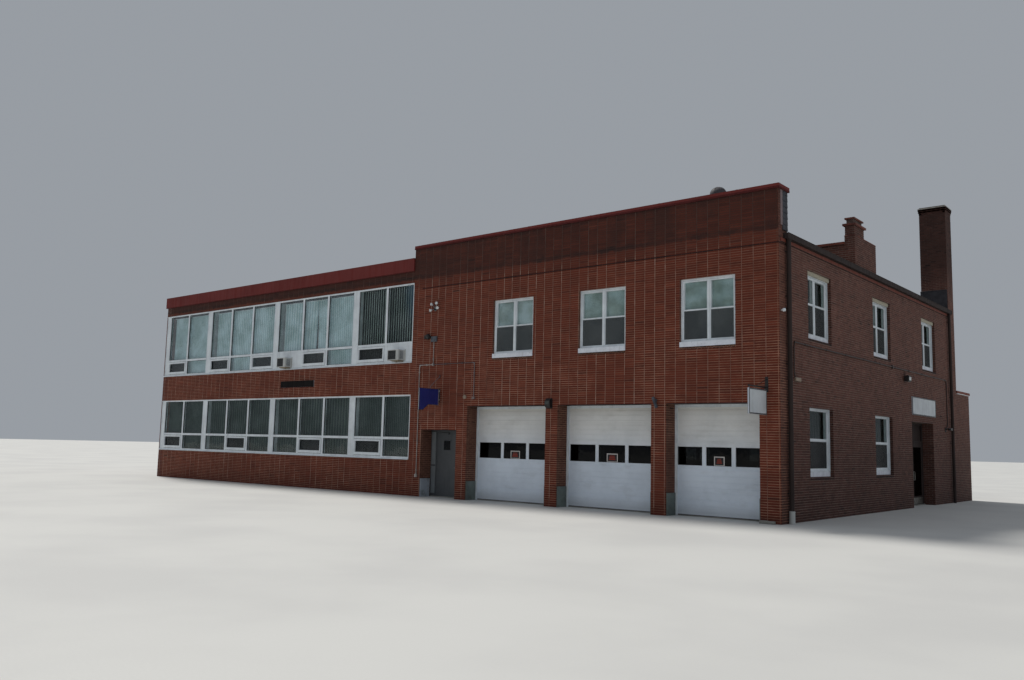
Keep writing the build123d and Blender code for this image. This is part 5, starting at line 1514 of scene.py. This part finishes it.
# black box lamp over the left pier and grey bullet lamp over the right one
s.slot = 0
s.prism([(0.0, 3.02), (0.0, 3.30), (-0.055, 3.305), (-0.135, 3.235), (-0.140, 3.12), (-0.100, 3.03)], lambda p, q, x: (x, p, q), -7.555, -7.365)
s.box(-7.575, -7.345, -0.020, 0.0, 2.995, 3.31, 0.004)
s.slot = 1
s.prism([(-0.141, 3.125), (-0.137, 3.22), (-0.133, 3.22), (-0.136, 3.125)], lambda p, q, x: (x, p, q), -7.535, -7.385)
s.slot = 2
s.lathe((-3.68, 0.0, 3.19), (0, -1, 0), [(0.050, 0.0), (0.050, 0.014), (0.030, 0.020), (0.018, 0.028)], 26)
s.tube([(-3.68, -0.02, 3.19), (-3.68, -0.070, 3.19), (-3.675, -0.085, 3.21)], 0.013, 10)
s.lathe((-3.715, -0.090, 3.275), (0.42, -0.10, -0.90), [(0.024, -0.012), (0.044, 0.0), (0.047, 0.02), (0.047, 0.08), (0.042, 0.085), (0.042, 0.24), (0.046, 0.25), (0.046, 0.315), (0.040, 0.318), (0.034, 0.30)], 26)
s.make("door_lamps", [M_BLACK, M_LENS_D, M_GALV_D], slot="lamp_housing", smooth=True)

s = Shape()
# side flood lamp, its drop and box
s.slot = 0
s.lathe((0.0, 10.48, 4.46), (1, 0, 0), [(0.055, 0), (0.055, 0.02), (0.02, 0.03), (0.018, 0.055)], 24)
s.prism([(0.060, 4.545), (0.165, 4.560), (0.195, 4.520), (0.190, 4.375), (0.150, 4.335), (0.062, 4.360)], lambda p, q, y: (p, y, q), 10.345, 10.625)
s.slot = 1
s.prism([(0.1965, 4.505), (0.1925, 4.390), (0.1960, 4.390), (0.1995, 4.505)], lambda p, q, y: (p, y, q), 10.370, 10.600)
s.slot = 2
s.tube([(0.028, 10.48, 4.745), (0.028, 10.48, 4.50)], 0.011, 10)
s.box(0.0, 0.055, 10.42, 10.54, 4.36, 4.50, 0.006)
# bracket lamp near the rear
s.slot = 0
s.box(0.0, 0.030, 15.42, 15.52, 2.72, 2.90, 0.004)
s.tube([(0.02, 15.47, 2.84), (0.15, 15.47, 2.87), (0.17, 15.62, 2.87)], 0.012, 10)
s.box(0.08, 0.19, 15.55, 15.86, 2.80, 2.89, 0.012)
# small pale case near the front corner
s.slot = 3
s.box(0.0, 0.055, 0.92, 1.28, 3.71, 3.81, 0.010)
s.box(0.002, 0.030, 1.28, 1.33, 3.73, 3.79, 0.006)
s.make("side_lamps", [M_BLACK, M_LENS, M_CONDUIT, M_IVORY], slot="lamp_housing", smooth=True)

s = Shape()
# conduit: bends, the left drop, clips and couplings
yc = -0.025


def arc(c, r, a0, a1, n=8, plane="xz"):
    pts = []
    for i in range(n + 1):
        t = math.radians(a0 + (a1 - a0) * i / n)
        pts.append((c[0] + r * math.cos(t), yc, c[1] + r * math.sin(t)))
    return pts


s.tube([(-13.2445, yc, 0.76), (-13.2445, yc, 4.47)] + arc((-13.155, 4.47), 0.0895, 180, 90)[1:] + [(-13.10, yc, 4.5595)], 0.0145, 12)
s.tube([(-10.72, yc, 4.5595)] + arc((-10.72, 4.475), 0.0845, 90, 0)[1:] + [(-10.6355, yc, 4.40)], 0.0145, 12)
for z in (0.9, 1.8, 2.7, 3.6, 4.3):
    s.box(-13.275, -13.214, -0.042, 0.0, z, z + 0.020, 0.003)
for x in (-12.9, -12.0, -11.2):
    s.box(x, x + 0.020, -0.042, 0.0, 4.530, 4.590, 0.003)
for z in (3.75, 4.2):
    s.box(-10.665, -10.606, -0.042, 0.0, z, z + 0.020, 0.003)
for z in (4.75, 5.15):
    s.box(-12.603, -12.544, -0.042, 0.0, z, z + 0.020, 0.003)
s.lathe((-12.573, yc, 4.5595), (0, 0, 1), [(0.020, -0.02), (0.020, 0.05), (0.016, 0.055)], 16)
s.box(-12.615, -12.530, -0.055, 0.0, 4.515, 4.605, 0.006)
s.box(-10.69, -10.58, -0.06, 0.0, 3.33, 3.41, 0.006)
s.box(-13.30, -13.19, -0.06, 0.0, 0.66, 0.77, 0.006)
s.tube([(-12.573, yc, 5.30), (-12.573, yc, 5.37)], 0.012, 10)
# side run: clips, end drop to the bracket lamp
for y in np.arange(1.6, 15.6, 1.55):
    s.box(0.0, 0.050, y, y + 0.020, 4.716, 4.784, 0.003)
s.tube([(0.025, 15.60, 4.75), (0.025, 15.72, 4.72), (0.025, 15.76, 4.62), (0.025, 15.76, 3.05), (0.025, 15.70, 2.95), (0.025, 15.52, 2.86)], 0.018, 10)
s.tube([(0.025, 0.96, 4.75), (0.025, 0.90, 4.71), (0.025, 0.88, 4.62), (0.025, 0.88, 3.90), (0.025, 0.96, 3.80)], 0.014, 10)
s.box(0.0, 0.060, 9.05, 9.17, 4.69, 4.81, 0.008)
s.make("conduit_fittings", [M_CONDUIT], slot="steel_conduit", smooth=True)

s = Shape()
# beige round bell by the left pier
s.lathe((-11.045, 0.0, 3.41), (0, -1, 0), [(0.058, 0.0), (0.072, 0.006), (0.072, 0.025), (0.062, 0.045), (0.035, 0.056), (0.010, 0.060)], 32)
s.lathe((-11.045, -0.055, 3.41), (0, -1, 0), [(0.012, 0.0), (0.012, 0.014), (0.008, 0.018)], 16)
s.slot = 1
# cable insulator on the corner
s.lathe((0.0, 0.12, 5.51), (1, 0, 0), [(0.018, 0.0), (0.018, 0.05), (0.040, 0.055), (0.046, 0.070), (0.030, 0.080), (0.030, 0.090), (0.044, 0.096), (0.044, 0.112), (0.018, 0.120)], 22)
s.make("bell_and_insulator", [M_IVORY, M_WHITE], slot="lamp_housing", smooth=True)

# ------------------------------------------------------------------ signs
s = Shape()
# projecting entry sign: a board with a tail, rim, pale inner edge, arms and stay
SIGN = [(-0.980, 3.690), (-0.980, 2.960), (-0.800, 2.960), (-0.550, 3.150), (-0.060, 3.150), (-0.060, 3.690)]
cy = sum(p for p, _ in SIGN) / 6
cz = sum(q for _, q in SIGN) / 6
for xs, sg in ((-12.270, -1), (-12.230, 1)):
    s.slot = 0
    s.tube([(xs, p, q) for p, q in SIGN] + [(xs, SIGN[0][0], SIGN[0][1] - 0.001)], 0.006, 8, cap=False)
    s.slot = 1
    inner = [(-0.972, 3.682), (-0.972, 2.968), (-0.803, 2.968), (-0.553, 3.158), (-0.068, 3.158), (-0.068, 3.682)]
    s.prism(inner, lambda p, q, d, xs=xs, sg=sg: (xs + sg * d, p, q), -0.0005, 0.0025)
s.slot = 3
s.box(-12.279, -12.221, -0.084, -0.050, 3.135, 3.705, 0.003)
s.slot = 2
s.box(-12.285, -12.215, -0.012, 0.0, 3.25, 3.72, 0.003)
s.box(-12.275, -12.225, -0.012, 0.0, 4.08, 4.19, 0.003)
s.slot = 4
s.tube([(-12.25, -0.010, 4.135), (-12.25, -0.45, 3.765), (-12.25, -0.46, 3.70)], 0.011, 10)
s.make("entry_sign_frame", [M_BLACK, M_NAVY, M_BLACK, M_TRIM, M_TRIM], slot="sign_board")

s = Shape()
# hanging sign by the corner: rim, faces, wall plate, arm and stay
for xs, sg in ((-0.380, -1), (-0.340, 1)):
    s.slot = 0
    s.ring(-1.088, -0.062, 2.772, 3.418, [(0, 0.0), (0, 0.005), (0.006, 0.009), (0.024, 0.009), (0.030, 0.003), (0.030, 0.0)],
           lambda u, d, z, xs=xs, sg=sg: (xs + sg * d, u, z))
    s.slot = 1
    s.grid(10, 8, lambda u, v, xs=xs, sg=sg: (xs + sg * 0.0025, -1.060 + 0.970 * u, 2.800 + 0.590 * v))
s.slot = 2
s.box(-0.405, -0.315, -0.014, 0.0, 3.36, 3.76, 0.004)
s.tube([(-0.36, -0.010, 3.70), (-0.36, -0.62, 3.50)], 0.008, 10)
s.lathe((-0.36, -1.088, 3.48), (0, -1, 0), [(0.018, -0.01), (0.024, -0.006), (0.024, 0.0), (0.001, 0.001)], 16)
for y in (-1.045, -0.115):
    s.lathe((-0.36, y, 3.44), (0, 0, 1), [(0.006, -0.03), (0.010, -0.02), (0.010, 0.03), (0.006, 0.045)], 12)
s.make("corner_sign_frame", [M_GREY, M_BOARD, M_BLACK], slot="sign_board")

s = Shape()
P = lambda u, d, z: (0.030 + d, u, z)
s.ring(11.240, 14.120, 3.240, 3.890, [(0, 0.0), (0, 0.006), (0.008, 0.012), (0.030, 0.012), (0.038, 0.004), (0.038, 0.0)], P)
s.slot = 1
s.grid(20, 6, lambda u, v: (0.0325, 11.275 + 2.81 * u, 3.275 + 0.580 * v))
s.slot = 2
for y in (11.36, 12.68, 14.0):
    for z in (3.30, 3.83):
        s.lathe((0.0325, y, z), (1, 0, 0), [(0.012, 0.0), (0.012, 0.004), (0.006, 0.006)], 14)
s.make("side_sign_frame", [M_GREY, M_BOARD, M_BRASS], slot="sign_board")

s = Shape()
P = lambda u, d, z: (u, -0.020 - d, z)
s.ring(-21.35, -19.19, 3.95, 4.21, [(0, 0.0), (0, 0.006), (0.005, 0.009), (0.014, 0.009), (0.020, 0.002), (0.020, 0.0)], P)
s.slot = 1
s.grid(20, 4, lambda u, v: (-21.335 + 2.13 * u, -0.0215, 3.965 + 0.23 * v))
s.make("wing_plaque_face", [M_PLAQUE, M_PLAQUE], slot="sign_board")

# ------------------------------------------------------------------ window air conditioners
s = Shape()
for x0, x1 in ((-14.66, -14.08), (-21.32, -20.75)):
    z0, z1, yf = 4.77, 5.15, -0.30
    xg = x1 - 0.145
    s.slot = 0
    # case, its front rim, and the plain corner beside the grille
    s.box(x0 + 0.004, x1 - 0.004, yf + 0.022, 0.019, z0 + 0.004, z1 - 0.004, 0.010)
    s.ring(x0, x1, z0, z1, [(0.0, 0.06), (0.0, 0.010), (0.010, 0.0), (0.026, 0.0), (0.030, 0.012), (0.030, 0.06)], on_front(yf))
    s.box(xg, x1 - 0.024, yf + 0.004, yf + 0.03, z0 + 0.024, z1 - 0.024, 0.004)
    s.slot = 1
    s.box(x0 + 0.030, xg + 0.001, yf + 0.016, yf + 0.024, z0 + 0.030, z1 - 0.030, 0.001)
    s.slot = 2
    z = z0 + 0.040
    while z < z1 - 0.045:
        s.prism([(yf + 0.018, z), (yf + 0.005, z + 0.006), (yf + 0.005, z + 0.0085), (yf + 0.018, z + 0.0035)], lambda a, b, x: (x, a, b), x0 + 0.030, xg)
        z += 0.016
    # louvred cheeks
    for side, sg in ((x0 + 0.004, -1), (x1 - 0.004, 1)):
        s.slot = 4
        s.box(min(side, side + sg * 0.003), max(side, side + sg * 0.003), yf + 0.075, -0.055, z0 + 0.05, z1 - 0.05, 0.0005)
        s.slot = 0
        for k in range(13):
            z = z0 + 0.062 + k * 0.021
            s.prism([(0.0025, z), (0.0095, z - 0.005), (0.0095, z - 0.0025), (0.0025, z + 0.003)],
                    lambda p, q, y, side=side, sg=sg: (side + sg * p, y, q), yf + 0.078, -0.058)
    s.slot = 0
    s.box(x0 - 0.05, x0 + 0.006, 0.010, 0.0195, z0 - 0.01, z1 + 0.03, 0.002)
    s.box(x1 - 0.006, x1 + 0.05, 0.010, 0.0195, z0 - 0.01, z1 + 0.03, 0.002)
    s.slot = 3
    s.box(x0 + 0.16, x1 - 0.02, yf + 0.02, -0.01, z0 - 0.028, z0 - 0.001, 0.006)
    s.box(x0 + 0.20, x0 + 0.23, yf + 0.05, 0.0, z0 - 0.040, z0 - 0.026, 0.003)
    s.box(x1 - 0.08, x1 - 0.05, yf + 0.05, 0.0, z0 - 0.040, z0 - 0.026, 0.003)
s.make("air_conditioner_cases", [M_CASE, M_BLACK, M_GREY, M_PAN, M_GREY_L], slot="lamp_housing", replaces=("window_air_conditioners",))

# corner kerb block
s = Shape()
s.box(-0.56, -0.34, -0.10, 0.001, 0.0, 0.08, 0.012)
s.box(-0.345, -0.15, -0.095, 0.001, 0.0, 0.072, 0.012)
s.make("corner_kerb", [M_CONC], slot="concrete")

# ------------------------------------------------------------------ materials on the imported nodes
LOOK = {
    "annex_roof": M_ROOF, "main_roof": M_ROOF, "wing_roof": M_ROOF,
    "annex_walls": M_MORTAR_S, "corner_chimney": M_MORTAR_S, "left_rear_wall": M_MORTAR_S, "rear_wall": M_MORTAR_S,
    "roof_chimney": M_MORTAR_S, "roof_level_walls": M_MORTAR_S, "side_lower_wall": M_MORTAR_S, "side_upper_wall": M_MORTAR_S,
    "wing_end_wall": M_MORTAR_S, "wing_rear_wall": M_MORTAR_S,
    "entry_head_wall": M_MORTAR_F, "front_parapet": M_MORTAR_F, "front_piers": M_MORTAR_F, "front_upper_wall": M_MORTAR_F,
    "wing_front_wall": M_MORTAR_F,
    "blank_signs": M_SIGN, "conduits": M_CONDUIT, "downspouts": M_DARK, "eave_board": M_RUST,
    "entry_door_frame": M_GREY, "entry_door_leaf": M_GREY, "floor_slab": M_CONC, "upper_floor": M_CONC,
    "front_window_frames": M_WHITE, "lower_ribbon_frame": M_WHITE, "rear_ribbon_frames": M_WHITE, "rear_window_frames": M_WHITE,
    "side_window_frames": M_WHITE, "upper_ribbon_frame": M_WHITE, "vehicle_door_trim": M_WHITE,
    "main_coping": M_MAROON, "wing_fascia": M_MAROON, "parapet_end_cladding": M_SLATE, "pier_bumpers": M_BLOCK,
    "red_copings": M_RUST, "ribbon_glass": M_GLASS_R, "window_glass": M_GLASS, "roof_vent": M_VENT,
    "side_door_frame": M_DARK, "side_door_leaf_front": M_DARK, "side_door_leaf_rear": M_DARK, "side_gutter": M_DARK,
    "vehicle_doors": M_DOOR, "window_sills_and_lintels": M_SILL, "wing_columns": M_WHITE,
}
for name, ob in NODES.items():
    if ob.hide_render:
        continue
    m = LOOK[name]
    if ob.material_slots:
        for sl in ob.material_slots:
            sl.link = "OBJECT"
            sl.material = m
    else:
        ob.data.materials.append(m)

# ------------------------------------------------------------------ floor, light
n = 96
me = bpy.data.meshes.new("studio_floor")
verts, faces = [], []
for r in (0.0, 20.0, 60.0, 140.0, 300.0):
    for k in range(n):
        a = 2 * math.pi * k / n
        verts.append((r * math.cos(a), r * math.sin(a), -0.002))
for j in range(4):
    for k in range(n):
        e = (k + 1) % n
        faces.append((j * n + k, (j + 1) * n + k, (j + 1) * n + e, j * n + e))
me.from_pydata(verts, [], faces)
fl = Mat("studio_floor")
n1 = fl.noise(0.25, 4.0, 0.5)
n2 = fl.noise(30.0, 3.0, 0.6)
fl.set(color=fl.mix(fl.span(n1, 0.35, 0.7), C(206, 206, 203), C(197, 197, 195)), rough=fl.span(n2, 0.3, 0.7, 0.72, 0.86), normal=fl.bump(n2, 0.003, 0.3))
me.materials.append(fl.m)
floor = bpy.data.objects.new("studio_floor", me)
scene.collection.objects.link(floor)

world = bpy.data.worlds.new("studio")
scene.world = world
world.use_nodes = True
wt = world.node_tree
wt.nodes.clear()
wo = wt.nodes.new("ShaderNodeOutputWorld")
bg = wt.nodes.new("ShaderNodeBackground")
bg.inputs["Color"].default_value = (0.80, 0.86, 0.94, 1.0)
bg.inputs["Strength"].default_value = 0.39
wt.links.new(bg.outputs[0], wo.inputs["Surface"])

sun = bpy.data.lights.new("soft_key", "SUN")
sun.energy = 2.75
sun.angle = math.radians(15.0)
sun.color = (1.0, 0.965, 0.91)
so = bpy.data.objects.new("soft_key", sun)
scene.collection.objects.link(so)
so.rotation_mode = "QUATERNION"
so.rotation_quaternion = Vector((-0.56, 0.14, 0.816)).normalized().to_track_quat("Z", "Y")

scene.view_settings.view_transform = "Standard"
scene.view_settings.look = "None"
scene.view_settings.exposure = 0.0
